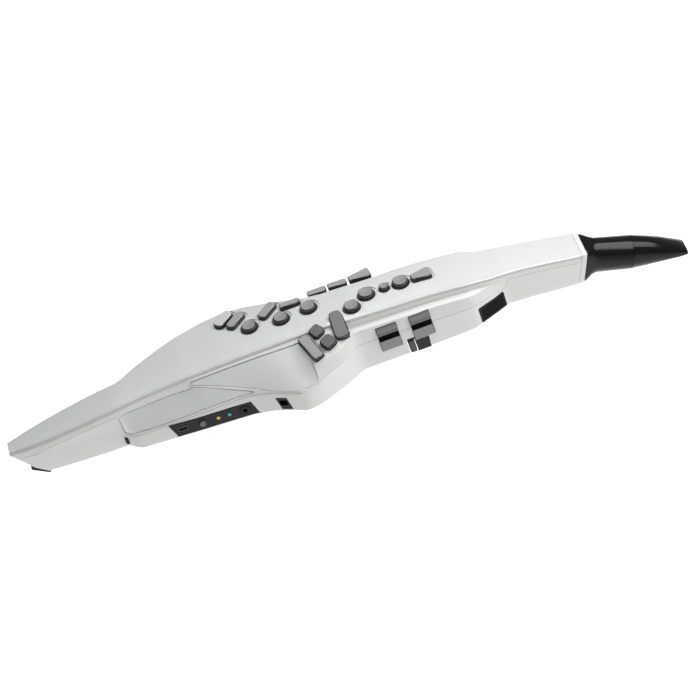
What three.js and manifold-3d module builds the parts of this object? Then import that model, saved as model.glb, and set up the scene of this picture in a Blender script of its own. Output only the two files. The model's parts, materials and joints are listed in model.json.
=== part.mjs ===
// Digital wind controller: a slim breath-blown instrument with saxophone keys.
// Millimetres. +X runs along the key face towards the mouthpiece, +Z rises out of
// the key face, -Y is the side with the little-finger table and the jack panel.

import * as THREE from 'three';
import { mergeVertices } from 'three/addons/utils/BufferGeometryUtils.js';
import Module from 'manifold-3d';

const wasm = await Module();
wasm.setup();

// Body: overall sizes that the guide lines below take their shares of
const bodyLength = 491;        // bell tip to the end of the neck, along X
const bellReach = 287;         // bell tip to the origin, under the right-hand keys
const bodyWidth = 100;         // far bulge to the corner of the side wing, rounded
const bodyHeight = 46;         // underside to the highest point of the top plate

// Walls and clearances
const wall = 2.4;              // moulded casing wall
const plateThickness = 1.8;    // top plate laid over the upper casing
const seam = 0.3;              // between pieces that are fixed to each other
const runningGap = 0.4;        // round a key or button in its hole
const overrun = 40;            // cutters reach this far past what they cut
const weld = 0.0001;           // vertices closer than this are one

// Edge rounding
const plateEdge = 0.8;
const ledgeEdge = 1;
const rimEdge = 1.6;
const baseEdge = 2.4;
const neckEdge = 6;

// Neck end and mouthpiece axis
const neckEndBack = 2;         // neck's end before the end of the body's length
const neckEndShare = 0.1652;   // mouthpiece axis there, share of the body's height
const mouthTilt = THREE.MathUtils.degToRad(18.5);
const neckEndX = bodyLength - bellReach - neckEndBack;
const neckEndZ = neckEndShare * bodyHeight;

// Colours and finishes
const finish = {
  white: { color: 0xeeeeec, roughness: 0.35, metalness: 0 },
  silver: { color: 0xc3c5c4, roughness: 0.38, metalness: 0.35 },
  key: { color: 0x8b8c8d, roughness: 0.4, metalness: 0.3 },
  paleKey: { color: 0xcfcfcf, roughness: 0.4, metalness: 0.3 },
  black: { color: 0x141414, roughness: 0.45, metalness: 0 },
  rubber: { color: 0x1d1d1f, roughness: 0.8, metalness: 0 },
  board: { color: 0x1f5a38, roughness: 0.6, metalness: 0.1 },
  metal: { color: 0xb8babc, roughness: 0.3, metalness: 0.9 },
  lens: { color: 0xd9c46a, roughness: 0.2, metalness: 0 },
  cell: { color: 0x3d6e86, roughness: 0.4, metalness: 0.3 },
  silicone: { color: 0xd8d4cc, roughness: 0.6, metalness: 0 },
};

const instrument = new THREE.Group();

// Solids: three.js geometry in, joined or cut, geometry out
function solidOf(geometry) {
  const bare = geometry.clone();
  bare.deleteAttribute('normal');
  bare.deleteAttribute('uv');
  const merged = mergeVertices(bare, weld);
  const vertProperties = new Float32Array(merged.attributes.position.array);
  const triVerts = new Uint32Array(merged.index.array);
  return new wasm.Manifold(new wasm.Mesh({ numProp: 3, vertProperties, triVerts }));
}

function geometryOf(solid) {
  const mesh = solid.getMesh();
  const geometry = new THREE.BufferGeometry();
  geometry.setAttribute('position', new THREE.BufferAttribute(mesh.vertProperties, 3));
  geometry.setIndex(new THREE.BufferAttribute(mesh.triVerts, 1));
  geometry.computeVertexNormals();
  return geometry;
}

function placed(solid, frame) {
  return solid.transform([...frame.elements]);
}

function addPiece(name, solid, look, frame = new THREE.Matrix4()) {
  const mesh = new THREE.Mesh(geometryOf(solid), new THREE.MeshStandardMaterial(look));
  mesh.name = name;
  mesh.applyMatrix4(frame);
  instrument.add(mesh);
  return mesh;
}

function frameAt(x, y, z, tilt = 0, turn = 0, pitch = 0) {
  const rotation = new THREE.Quaternion().setFromEuler(new THREE.Euler(tilt, pitch, turn, 'XYZ'));
  return new THREE.Matrix4().compose(new THREE.Vector3(x, y, z), rotation, new THREE.Vector3(1, 1, 1));
}

// A prism of an outline, from one height to another along its own Z
function prism(shape, from, to, curveSegments = 4) {
  const geometry = new THREE.ExtrudeGeometry(shape, { depth: to - from, bevelEnabled: false, curveSegments });
  geometry.translate(0, 0, from);
  return solidOf(geometry);
}

function roundedBar(length, width, radius, endWidth = width) {
  const shape = new THREE.Shape();
  const half = length / 2;
  const left = width / 2;
  const right = endWidth / 2;
  const corner = Math.min(radius, left, right, half);
  shape.moveTo(-half + corner, -left);
  shape.lineTo(half - corner, -right);
  shape.quadraticCurveTo(half, -right, half, -right + corner);
  shape.lineTo(half, right - corner);
  shape.quadraticCurveTo(half, right, half - corner, right);
  shape.lineTo(-half + corner, left);
  shape.quadraticCurveTo(-half, left, -half, left - corner);
  shape.lineTo(-half, -left + corner);
  shape.quadraticCurveTo(-half, -left, -half + corner, -left);
  return shape;
}

function polygon(points) {
  return new THREE.Shape(points.map(([u, v]) => new THREE.Vector2(u, v)));
}

function block(sizeX, sizeY, sizeZ, x, y, z) {
  const geometry = new THREE.BoxGeometry(sizeX, sizeY, sizeZ);
  geometry.translate(x, y, z);
  return solidOf(geometry);
}

// A round pin or bore, standing on z along its own Z
function post(radius, from, to, sides = 16) {
  const geometry = new THREE.CylinderGeometry(radius, radius, to - from, sides);
  geometry.rotateX(Math.PI / 2);
  geometry.translate(0, 0, (from + to) / 2);
  return solidOf(geometry);
}

function turned(profile, sides = 16) {
  const geometry = new THREE.LatheGeometry(profile.map(([r, z]) => new THREE.Vector2(r, z)), sides);
  geometry.rotateX(Math.PI / 2);
  return solidOf(geometry);
}

// A skin through rings of equally many points. The first and last points of a ring face
// each other, and so on inwards, so each end is closed by a strip between the pairs.
function loft(rings) {
  const count = rings[0].length;
  const positions = rings.flat().flatMap((point) => [point.x, point.y, point.z]);
  const index = [];
  for (let ring = 0; ring + 1 < rings.length; ring += 1) {
    for (let i = 0; i < count; i += 1) {
      const a = ring * count + i;
      const b = ring * count + (i + 1) % count;
      index.push(a, b, b + count, a, b + count, a + count);
    }
  }
  const lastRing = (rings.length - 1) * count;
  for (let i = 0; i + 1 < count / 2; i += 1) {
    const [a, b, c, d] = [i, i + 1, count - 2 - i, count - 1 - i];
    index.push(c, b, a, d, c, a);
    index.push(...[a, b, c, a, c, d].map((corner) => corner + lastRing));
  }
  const geometry = new THREE.BufferGeometry();
  geometry.setAttribute('position', new THREE.Float32BufferAttribute(positions, 3));
  geometry.setIndex(index);
  return solidOf(geometry);
}

// Guide lines: smooth curves through [share along the body, share of the span] pairs,
// without overshoot between their points
function guide(pairs) {
  const at = pairs.map(([along]) => along);
  const value = pairs.map(([, share]) => share);
  const rise = at.slice(1).map((_, i) => (value[i + 1] - value[i]) / (at[i + 1] - at[i]));
  const slope = value.map((_, i) => {
    if (i === 0) return rise[0];
    if (i === value.length - 1) return rise[i - 1];
    if (rise[i - 1] * rise[i] <= 0) return 0;
    return 2 * rise[i - 1] * rise[i] / (rise[i - 1] + rise[i]);
  });
  return (along) => {
    let i = 0;
    while (i < at.length - 2 && along > at[i + 1]) i += 1;
    const step = at[i + 1] - at[i];
    const t = THREE.MathUtils.clamp((along - at[i]) / step, 0, 1);
    const s = 1 - t;
    const start = value[i] * (1 + 2 * t) * s * s + slope[i] * step * t * s * s;
    return start + value[i + 1] * (1 + 2 * s) * t * t - slope[i + 1] * step * s * t * t;
  };
}

// Heights of the top plate and of the underside, as shares of the body's height
const topShares = [
  [0, 0.63], [0.07, 0.722], [0.153, 0.832], [0.2, 0.883], [0.236, 0.909], [0.32, 0.96],
  [0.403, 0.98], [0.485, 0.99], [0.57, 1], [0.65, 0.967], [0.735, 0.909], [0.82, 0.798],
  [0.9, 0.661], [0.967, 0.52], [1.02, 0.405],
];
const baseShares = [
  [0, 0.56], [0.047, 0.01], [0.053, 0], [0.85, 0], [0.865, -0.02], [0.9, -0.08],
  [0.985, -0.19], [1.02, -0.23],
];

// Corners of the cross-section from the plate's near edge down to the base: the pairs
// are shares of the body's width, with a third share of the local height where it varies
const cornerShares = {
  plateNear: [
    [0, -0.14, 1], [0.007, -0.147, 1], [0.07, -0.19, 1], [0.104, -0.197, 1], [0.153, -0.207, 1],
    [0.2, -0.203, 1], [0.236, -0.19, 1], [0.32, -0.185, 1], [0.485, -0.185, 1], [0.56, -0.195, 1],
    [0.594, -0.214, 1],
    [0.65, -0.222, 1], [0.735, -0.216, 1], [0.82, -0.212, 1], [0.845, -0.198, 1], [0.9, -0.17, 1],
    [1.02, -0.157, 1],
  ],
  ridgeNear: [
    [0, -0.142, 0.6], [0.07, -0.194, 0.77], [0.153, -0.212, 0.815], [0.201, -0.21, 0.815],
    [0.236, -0.2, 0.8], [0.312, -0.205, 0.805], [0.322, -0.2, 0.925], [0.485, -0.2, 0.925],
    [0.57, -0.212, 0.925], [0.595, -0.23, 0.83], [0.735, -0.225, 0.83], [0.794, -0.222, 0.83],
    [0.84, -0.206, 0.82], [0.865, -0.185, 0.82], [0.9, -0.176, 0.82], [1.02, -0.163, 0.8],
  ],
  ledgeNear: [
    [0, -0.142, 0.45], [0.07, -0.193, 0.55], [0.187, -0.213, 0.55], [0.201, -0.24, 0.6],
    [0.236, -0.242, 0.61], [0.316, -0.262, 0.64], [0.326, -0.264, 0.7], [0.403, -0.278, 0.72],
    [0.485, -0.352, 0.715], [0.5, -0.36, 0.715], [0.52, -0.425, 0.735], [0.536, -0.44, 0.73],
    [0.569, -0.405, 0.76], [0.595, -0.3, 0.81], [0.61, -0.29, 0.82], [0.794, -0.29, 0.82],
    [0.82, -0.248, 0.81], [0.84, -0.212, 0.79], [0.865, -0.18, 0.72], [0.9, -0.176, 0.62],
    [1.02, -0.163, 0.6],
  ],
  rimNear: [
    [0, -0.14, 0.3], [0.07, -0.19, 0.35], [0.153, -0.214, 0.33], [0.187, -0.215, 0.32],
    [0.193, -0.236, 0.32], [0.201, -0.272, 0.32], [0.211, -0.297, 0.33], [0.236, -0.308, 0.335],
    [0.32, -0.348, 0.39], [0.403, -0.38, 0.44], [0.436, -0.432, 0.44], [0.464, -0.505, 0.43],
    [0.485, -0.565, 0.43], [0.5, -0.568, 0.43], [0.536, -0.507, 0.52], [0.569, -0.43, 0.555],
    [0.595, -0.328, 0.56], [0.61, -0.312, 0.56], [0.794, -0.312, 0.56], [0.804, -0.292, 0.55],
    [0.835, -0.231, 0.56], [0.86, -0.17, 0.57], [0.87, -0.172, 0.5], [0.9, -0.174, 0.5], [1.02, -0.162, 0.5],
  ],
  baseNear: [
    [0, -0.13, 0], [0.06, -0.182, 0], [0.104, -0.2, 0], [0.153, -0.216, 0], [0.187, -0.217, 0],
    [0.193, -0.238, 0], [0.201, -0.28, 0], [0.211, -0.309, 0], [0.236, -0.32, 0], [0.32, -0.361, 0],
    [0.403, -0.393, 0], [0.436, -0.437, 0], [0.464, -0.508, 0], [0.485, -0.566, 0], [0.5, -0.566, 0],
    [0.536, -0.5, 0], [0.569, -0.418, 0], [0.589, -0.345, 0], [0.605, -0.334, 0], [0.75, -0.334, 0],
    [0.794, -0.32, 0], [0.804, -0.297, 0], [0.835, -0.235, 0], [0.86, -0.172, 0], [0.87, -0.172, 0],
    [0.9, -0.172, 0], [1.02, -0.16, 0],
  ],
  baseFar: [
    [0, 0.005, 0], [0.06, 0.06, 0], [0.193, 0.105, 0], [0.236, 0.17, 0], [0.32, 0.3, 0],
    [0.403, 0.35, 0], [0.485, 0.33, 0], [0.53, 0.33, 0], [0.794, 0.32, 0], [0.804, 0.297, 0],
    [0.835, 0.235, 0], [0.86, 0.172, 0], [0.87, 0.172, 0], [1.02, 0.16, 0],
  ],
  rimFar: [
    [0, 0.005, 0.3], [0.07, 0.075, 0.35], [0.193, 0.12, 0.33], [0.236, 0.2, 0.35], [0.32, 0.355, 0.38],
    [0.403, 0.42, 0.4], [0.485, 0.35, 0.42], [0.53, 0.335, 0.5], [0.56, 0.33, 0.56], [0.794, 0.32, 0.56],
    [0.804, 0.297, 0.55], [0.835, 0.231, 0.56], [0.86, 0.17, 0.57], [0.87, 0.172, 0.5], [1.02, 0.162, 0.5],
  ],
  ledgeFar: [
    [0, 0.006, 0.45], [0.07, 0.076, 0.55], [0.193, 0.12, 0.55], [0.236, 0.21, 0.6], [0.32, 0.37, 0.62],
    [0.403, 0.437, 0.62], [0.485, 0.355, 0.7], [0.52, 0.325, 0.8], [0.56, 0.315, 0.82],
    [0.794, 0.305, 0.82], [0.82, 0.255, 0.81], [0.84, 0.212, 0.79], [0.865, 0.18, 0.72],
    [0.9, 0.176, 0.62], [1.02, 0.163, 0.6],
  ],
  ridgeFar: [
    [0, 0.008, 0.6], [0.07, 0.077, 0.77], [0.193, 0.117, 0.8], [0.236, 0.21, 0.8], [0.32, 0.372, 0.8],
    [0.403, 0.444, 0.8], [0.485, 0.353, 0.82], [0.53, 0.278, 0.83], [0.57, 0.23, 0.83],
    [0.66, 0.224, 0.83], [0.69, 0.238, 0.83], [0.81, 0.242, 0.83], [0.84, 0.206, 0.82],
    [0.865, 0.18, 0.82], [1.02, 0.163, 0.8],
  ],
  plateFar: [
    [0, 0.003, 1], [0.007, 0.014, 1], [0.07, 0.071, 1], [0.104, 0.09, 1], [0.153, 0.107, 1],
    [0.2, 0.113, 1], [0.236, 0.203, 1], [0.32, 0.367, 1], [0.385, 0.434, 1], [0.403, 0.44, 1],
    [0.42, 0.433, 1], [0.485, 0.349, 1], [0.57, 0.223, 1], [0.66, 0.218, 1], [0.69, 0.232, 1],
    [0.735, 0.235, 1], [0.81, 0.236, 1], [0.838, 0.182, 1], [0.9, 0.17, 1], [1.02, 0.157, 1],
  ],
};

// Where the cross-sections stand
const stationShares = [
  0, 0.007, 0.03, 0.049, 0.07, 0.104, 0.153, 0.187, 0.193, 0.201, 0.211, 0.236, 0.28, 0.312,
  0.322, 0.365, 0.403, 0.436, 0.464, 0.485, 0.5, 0.52, 0.536, 0.569, 0.595, 0.61, 0.65, 0.7,
  0.735, 0.77, 0.794, 0.804, 0.835, 0.86, 0.87, 0.9, 0.935, 0.967, 1.02,
];

const alongBody = (share) => share * bodyLength - bellReach;
const shareOf = (x) => (x + bellReach) / bodyLength;
const topGuide = guide(topShares);
const baseGuide = guide(baseShares);
const topAt = (x) => topGuide(shareOf(x)) * bodyHeight;
const baseAt = (x) => baseGuide(shareOf(x)) * bodyHeight;

const corners = Object.fromEntries(Object.entries(cornerShares).map(([name, triples]) => {
  const across = guide(triples.map(([along, share]) => [along, share]));
  const up = guide(triples.map(([along, , share]) => [along, share]));
  return [name, { across, up }];
}));

// One corner of the section at x, in (y, z); drop lowers the plate corners
function cornerAt(name, x, drop = 0) {
  const share = shareOf(x);
  const base = baseAt(x);
  const height = topAt(x) - base;
  const y = corners[name].across(share) * bodyWidth;
  const z = base + corners[name].up(share) * height;
  return new THREE.Vector2(y, name.startsWith('plate') ? z - drop : z);
}

// The corner of a polygon moved inwards by a wall, its neighbours in order
function insetCorner(before, corner, after, by) {
  const first = corner.clone().sub(before).normalize();
  const second = after.clone().sub(corner).normalize();
  const inward = new THREE.Vector2(-first.y - second.y, first.x + second.x).normalize();
  const spread = Math.max(inward.dot(new THREE.Vector2(-first.y, first.x)), 0.5);
  return corner.clone().addScaledVector(inward, by / spread);
}

// A corner cut back by a radius and rounded with a few chords
function roundCorner(before, corner, after, radius, chords) {
  if (radius === 0) return [corner];
  const reach = Math.min(radius, before.distanceTo(corner) * 0.45, after.distanceTo(corner) * 0.45);
  const start = corner.clone().addScaledVector(before.clone().sub(corner).normalize(), reach);
  const end = corner.clone().addScaledVector(after.clone().sub(corner).normalize(), reach);
  return new THREE.QuadraticBezierCurve(start, corner, end).getPoints(chords);
}

// The base rounds more on the neck than on the body
const baseRoundShares = guide([[0, 0], [0.86, 0], [0.9, 1], [1.02, 1]]);
function edgeRadius(name, share) {
  if (name.startsWith('plate')) return plateEdge;
  if (name.startsWith('ridge')) return 0;
  if (name.startsWith('ledge')) return ledgeEdge;
  if (name.startsWith('rim')) return rimEdge;
  return THREE.MathUtils.lerp(baseEdge, neckEdge, baseRoundShares(share));
}
const edgeChords = { plate: 1, ridge: 1, ledge: 1, rim: 1, base: 2 };

function sectionAt(x, { drop = 0, inset = 0 } = {}) {
  const names = Object.keys(cornerShares);
  const sharp = names.map((name) => cornerAt(name, x, drop));
  const near = (i) => sharp[(i + names.length) % names.length];
  if (inset > 0) {
    return sharp.map((corner, i) => insetCorner(near(i - 1), corner, near(i + 1), inset));
  }
  return sharp.flatMap((corner, i) => {
    const kind = names[i].replace(/Near|Far/, '');
    const chords = edgeChords[kind];
    return roundCorner(near(i - 1), corner, near(i + 1), edgeRadius(names[i], shareOf(x)), chords);
  });
}

function ringAt(x, options) {
  return sectionAt(x, options).map((corner) => new THREE.Vector3(x, corner.x, corner.y));
}

const stations = stationShares.map(alongBody);
const casingDrop = plateThickness + seam;
const hollowStartShare = 0.034;
const hollowStations = [alongBody(hollowStartShare), ...stations.filter((x, i) => i > 2 && i % 2 === 0)];

const fullBody = loft(stations.map((x) => ringAt(x)));
const casingBody = loft(stations.map((x) => ringAt(x, { drop: casingDrop })));
const hollow = loft(hollowStations.map((x) => ringAt(x, { drop: casingDrop, inset: wall })));

// The mouth frame stands square on the neck's end, its Z along the mouthpiece axis
const mouthFrame = frameAt(neckEndX, 0, neckEndZ, 0, 0, Math.PI / 2 + mouthTilt);
const endRingLength = 4;
const beyondNeck = placed(block(2 * bodyWidth, 2 * bodyWidth, 2 * overrun, 0, 0, overrun), mouthFrame);
const beyondRing = placed(
  block(2 * bodyWidth, 2 * bodyWidth, 2 * overrun, 0, 0, overrun - endRingLength - seam), mouthFrame);
const ringSpace = placed(
  block(2 * bodyWidth, 2 * bodyWidth, endRingLength, 0, 0, -endRingLength / 2), mouthFrame);

// Seam between the two casings: shares of the local height along the body
const seamShares = [
  [0, 0.3], [0.015, 0.37], [0.037, 0.67], [0.07, 0.77], [0.153, 0.815], [0.186, 0.815],
  [0.192, 0.33], [0.236, 0.335], [0.32, 0.39], [0.403, 0.44], [0.485, 0.43], [0.536, 0.52], [0.595, 0.56], [0.8, 0.56],
  [0.86, 0.57], [0.868, 0.8], [1.02, 0.79],
];
const seamGuide = guide(seamShares);
const seamAt = (x) => baseAt(x) + seamGuide(shareOf(x)) * (topAt(x) - baseAt(x));

// Everything above or below the seam line, as one prism across the body
function seamSide(sign, gap) {
  const line = seamShares.map(([along]) => alongBody(along)).map((x) => [x, seamAt(x) + sign * gap]);
  const first = line[0];
  const last = line[line.length - 1];
  const outline = [[first[0] - overrun, first[1]], ...line, [last[0] + overrun, last[1]],
    [last[0] + overrun, sign * 2 * bodyHeight], [first[0] - overrun, sign * 2 * bodyHeight]];
  const across = prism(polygon(outline), -bodyWidth, bodyWidth);
  return placed(across, frameAt(0, 0, 0, Math.PI / 2));
}

const shell = casingBody.subtract(hollow).subtract(beyondRing);
let upperCasing = shell.intersect(seamSide(1, seam / 2));
let lowerCasing = shell.intersect(seamSide(-1, seam / 2));

// Top plate: a thin curved plate with softened edges
function plateRing(x) {
  const nearEdge = cornerAt('plateNear', x);
  const farEdge = cornerAt('plateFar', x);
  const low = topAt(x) - plateThickness;
  const lip = Math.min(plateEdge, plateThickness / 2);
  const outline = [
    [nearEdge.x + lip, nearEdge.y], [nearEdge.x, nearEdge.y - lip], [nearEdge.x, low],
    [farEdge.x, low], [farEdge.x, farEdge.y - lip], [farEdge.x - lip, farEdge.y],
  ];
  return outline.map(([y, z]) => new THREE.Vector3(x, y, z));
}
let topPlate = loft(stations.map(plateRing)).subtract(beyondRing);

const neckEndRing = fullBody.intersect(ringSpace).subtract(hollow);

// Keys: a cap that slides through the plate and the casing on a flange inside
const keyRise = 3;             // key top above the plate
const keyTravel = 2;           // how far every sax key goes down
const flangeThickness = 1.2;
const flangeGrow = 0.8;         // flange past the key's side
const flangeLap = 0.2;         // flange above the shank's foot
const keyBevel = 0.9;
const flangeGap = 0.6;         // flange to the casing's curved inner face
const plateSeat = keyRise + casingDrop + wall + flangeGap;   // key top to its flange
const moatWidth = 2.2;         // shallow recess round each key on the plate
const moatDepth = 0.9;
const switchGap = 0.4;         // flange at the end of its travel to the rubber domes

const roundKeyRadius = 7.5;
const smallKeyRadius = 4.7;
const tabGrow = 1.2;           // flange tabs past a round key, across the body
const tabShare = 0.9;          // tab width from the key's radius
const dishDepth = 0.6;
// Round key profile: shares of the radius, and of the rise, from the dish outwards
const roundProfileShares = [[0.72, 0.08], [0.81, 0], [0.86, 0.08], [0.9, 0.36], [0.97, 0.6], [1, 0.7]];

const keySpacing = 1.5;        // between neighbours in a row
const bisAlong = 0.6716;
const besideBis = alongBody(bisAlong) + smallKeyRadius + keySpacing + roundKeyRadius;

const roundKeys = [
  { name: 'key_d', along: 0.4408, across: 0.135, radius: roundKeyRadius },
  { name: 'key_e', along: 0.4947, across: 0.096, radius: roundKeyRadius },
  { name: 'key_f', along: 0.5432, across: 0.104, radius: roundKeyRadius },
  { name: 'key_g', along: 0.6105, across: -0.073, radius: roundKeyRadius },
  { name: 'key_a', along: 0.64, across: 0.027, radius: roundKeyRadius },
  { name: 'key_bis', along: bisAlong, across: 0.036, radius: smallKeyRadius },
  { name: 'key_b', along: shareOf(besideBis), across: 0.038, radius: roundKeyRadius },
];

function roundKey(radius) {
  const foot = -plateSeat - flangeThickness;
  const profile = [[0, -dishDepth],
    ...roundProfileShares.map(([out, down]) => [out * radius, -down * keyRise]),
    [radius, foot], [0, foot]];
  const tabs = block(radius * tabShare, 2 * (radius + tabGrow), flangeThickness,
    0, 0, foot + flangeThickness / 2);
  return turned(profile.reverse()).add(tabs);
}

// A key with flat sides: bevelled cap on a straight shank and a flange
function shapedKey(outline, seat) {
  const cap = new THREE.ExtrudeGeometry(outline(0), {
    depth: seat - keyBevel, bevelThickness: keyBevel, bevelSize: keyBevel, bevelOffset: -keyBevel,
    bevelSegments: 1, curveSegments: 2,
  });
  cap.translate(0, 0, -seat);
  const flange = prism(outline(flangeGrow), -seat - flangeThickness, -seat + flangeLap, 1);
  return solidOf(cap).add(flange);
}

function plateFrame(along, across, turn = 0) {
  const x = alongBody(along);
  const reach = roundKeyRadius;
  const pitch = -Math.atan2(topAt(x + reach) - topAt(x - reach), 2 * reach);
  const surface = frameAt(x, across * bodyWidth, topAt(x), 0, 0, pitch);
  return surface.multiply(frameAt(0, 0, keyRise, 0, turn));
}

const keyHoles = [];
function cutForKey(frame, outline, depth) {
  keyHoles.push(placed(prism(outline(runningGap), -depth - wall, overrun / 2, 2), frame));
  const sweep = prism(outline(flangeGrow + seam),
    -depth - flangeThickness - keyTravel - seam, -depth + flangeLap + seam);
  keyHoles.push(placed(sweep, frame));
}

for (const { name, along, across, radius } of roundKeys) {
  const frame = plateFrame(along, across);
  addPiece(name, roundKey(radius), finish.key, frame);
  keyHoles.push(placed(post(radius + runningGap, -plateSeat - wall, overrun / 2), frame));
  const moat = placed(post(radius + moatWidth, -keyRise - moatDepth, overrun / 2), frame);
  topPlate = topPlate.subtract(moat);
}

// Keys with flat sides on the plate: long sides from the photograph's proportions
const barKey = { length: 19, width: 8.5, radius: 3 };
const lowKey = { length: 18.5, width: 9.6, radius: 3.2 };
const trillKey = { length: 17.5, width: 6.5, radius: 2.2 };
const frontKey = { length: 16.8, width: 8.2, endWidth: 12, radius: 2.4 };
const frontTurn = 0.15;
const frontX = besideBis + roundKeyRadius + keySpacing + frontKey.length / 2;
const slanted = THREE.MathUtils.degToRad(44);
const barOutline = ({ length, width, radius, endWidth = width }) => (grow) =>
  roundedBar(length + 2 * grow, width + 2 * grow, radius + grow, endWidth + 2 * grow);

const flatKeys = [
  { name: 'key_eb', along: 0.4038, across: 0.332, turn: slanted, look: finish.paleKey, size: lowKey },
  { name: 'key_low_c', along: 0.4225, across: 0.266, turn: slanted, look: finish.key, size: barKey },
  { name: 'key_f_sharp', along: 0.4774, across: 0.243, turn: slanted, look: finish.key, size: barKey },
  { name: 'key_trill', along: 0.5162, across: 0.221, turn: 0, look: finish.key, size: trillKey },
  {
    name: 'key_front_f', along: shareOf(frontX), across: 0.043, turn: frontTurn,
    look: finish.key, size: frontKey,
  },
];
for (const { name, along, across, turn, look, size } of flatKeys) {
  const frame = plateFrame(along, across, turn);
  const outline = barOutline(size);
  addPiece(name, shapedKey(outline, plateSeat), look, frame);
  cutForKey(frame, outline, plateSeat);
  const moat = prism(outline(moatWidth), -keyRise - moatDepth, overrun / 2);
  topPlate = topPlate.subtract(placed(moat, frame));
}

// Side keys: high caps on narrow shanks, standing on the far ledge
const sideKeyLength = 16.3;
const sideKeyWidth = 7;
const sideCornerRadius = 1.6;
const highKeyLength = 18.8;
const highKeyEndWidth = 11.2;
const highKeyTurn = 0.11;
const sideShankWidth = 3.6;
const sideShankShift = 1.3;    // shank towards the plate from the cap's middle
const sideCapHeight = 5;
const sideTopShare = 1.005;    // cap tops, share of the body's height
const sideShankShare = 0.72;   // shank length from the cap's
const sideSeat = 13.3;         // cap top to the flange under the ledge
const sideStart = alongBody(0.565);
const sideMiddle = sideStart + sideKeyLength + keySpacing;
const sideEnd = sideMiddle + (sideKeyLength + highKeyLength) / 2 + keySpacing;
const sideKeys = [
  { name: 'key_side_c', x: sideStart, across: 0.278, turn: 0, length: sideKeyLength, endWidth: sideKeyWidth },
  { name: 'key_side_bb', x: sideMiddle, across: 0.278, turn: 0, length: sideKeyLength, endWidth: sideKeyWidth },
  {
    name: 'key_side_high_e', x: sideEnd, across: 0.284, turn: highKeyTurn,
    length: highKeyLength, endWidth: highKeyEndWidth,
  },
];
for (const { name, x, across, turn, length, endWidth } of sideKeys) {
  const reach = length / 2;
  const pitch = -Math.atan2(topAt(x + reach) - topAt(x - reach), length);
  const frame = frameAt(x, across * bodyWidth, sideTopShare * bodyHeight, 0, turn, pitch);
  const cap = new THREE.ExtrudeGeometry(roundedBar(length, sideKeyWidth, sideCornerRadius, endWidth), {
    depth: sideCapHeight - 2 * keyBevel, bevelThickness: keyBevel, bevelSize: keyBevel,
    bevelOffset: -keyBevel, bevelSegments: 1, curveSegments: 2,
  });
  cap.translate(0, 0, keyBevel - sideCapHeight);
  const shankLength = length * sideShankShare;
  const shift = -sideShankShift;
  const shank = block(shankLength, sideShankWidth, sideSeat, 0, shift, -sideSeat / 2 - keyBevel);
  const flange = block(shankLength + 2 * flangeGrow, sideShankWidth, flangeThickness,
    0, shift, -sideSeat - flangeThickness / 2);
  addPiece(name, solidOf(cap).add(shank).add(flange), finish.key, frame);
  const hole = block(shankLength + 2 * runningGap, sideShankWidth + 2 * runningGap, sideSeat + wall,
    0, shift, -sideCapHeight - (sideSeat + wall) / 2 + keyBevel);
  keyHoles.push(placed(hole, frame));
  const sweepHeight = flangeThickness + keyTravel + 2 * seam;
  const sweep = block(shankLength + 2 * (flangeGrow + seam), sideShankWidth + 2 * seam, sweepHeight,
    0, shift, seam - sideSeat - sweepHeight / 2);
  keyHoles.push(placed(sweep, frame));
  const capOutline = roundedBar(length + 2 * seam, sideKeyWidth + 2 * seam, sideCornerRadius,
    endWidth + 2 * seam);
  keyHoles.push(placed(prism(capOutline, -sideCapHeight - keyTravel - seam, overrun / 2), frame));
}

// Little-finger keys on the tilted table
const tableTilt = THREE.MathUtils.degToRad(21);
const tableSeat = 9.4;         // key top to its flange, under the table
const longSeat = 11.2;         // the same for the long key, which crosses the plate's edge
const longKey = { length: 26, width: 10.5, radius: 4.2, endWidth: 12 };
const squareKey = { length: 11.2, width: 11, radius: 2.8 };
const smallSquareKey = { length: 10.6, width: 10.2, radius: 2.6 };
const stripKey = { length: 25, width: 9, radius: 2 };
const longAlong = 0.5804;
const besideLong = alongBody(longAlong) - (longKey.width + squareKey.length) / 2 - keySpacing;
const besideSquare = besideLong - 4 * keySpacing;
const besideStrip = besideLong - (squareKey.length + stripKey.width) / 2 - 3 * keySpacing;
const tableKeys = [
  {
    name: 'key_g_sharp', along: longAlong, across: -0.218, riseShare: 1.002, turn: -1.55,
    seat: longSeat, size: longKey,
  },
  {
    name: 'key_c_sharp', along: shareOf(besideSquare), across: -0.208, riseShare: 1.013, turn: -1.05,
    seat: tableSeat, size: smallSquareKey,
  },
  {
    name: 'key_low_b', along: shareOf(besideLong), across: -0.33, riseShare: 0.925, turn: -1.05,
    seat: tableSeat, size: squareKey,
  },
  {
    name: 'key_low_bb', along: shareOf(besideStrip), across: -0.326, riseShare: 0.928, turn: -1.21,
    seat: tableSeat, size: stripKey,
  },
];
for (const { name, along, across, riseShare, turn, seat, size } of tableKeys) {
  const frame = frameAt(alongBody(along), across * bodyWidth, riseShare * bodyHeight, tableTilt, turn);
  const outline = barOutline(size);
  addPiece(name, shapedKey(outline, seat), finish.key, frame);
  cutForKey(frame, outline, seat);
}
const stripHole = keyHoles[keyHoles.length - 2];

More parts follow.
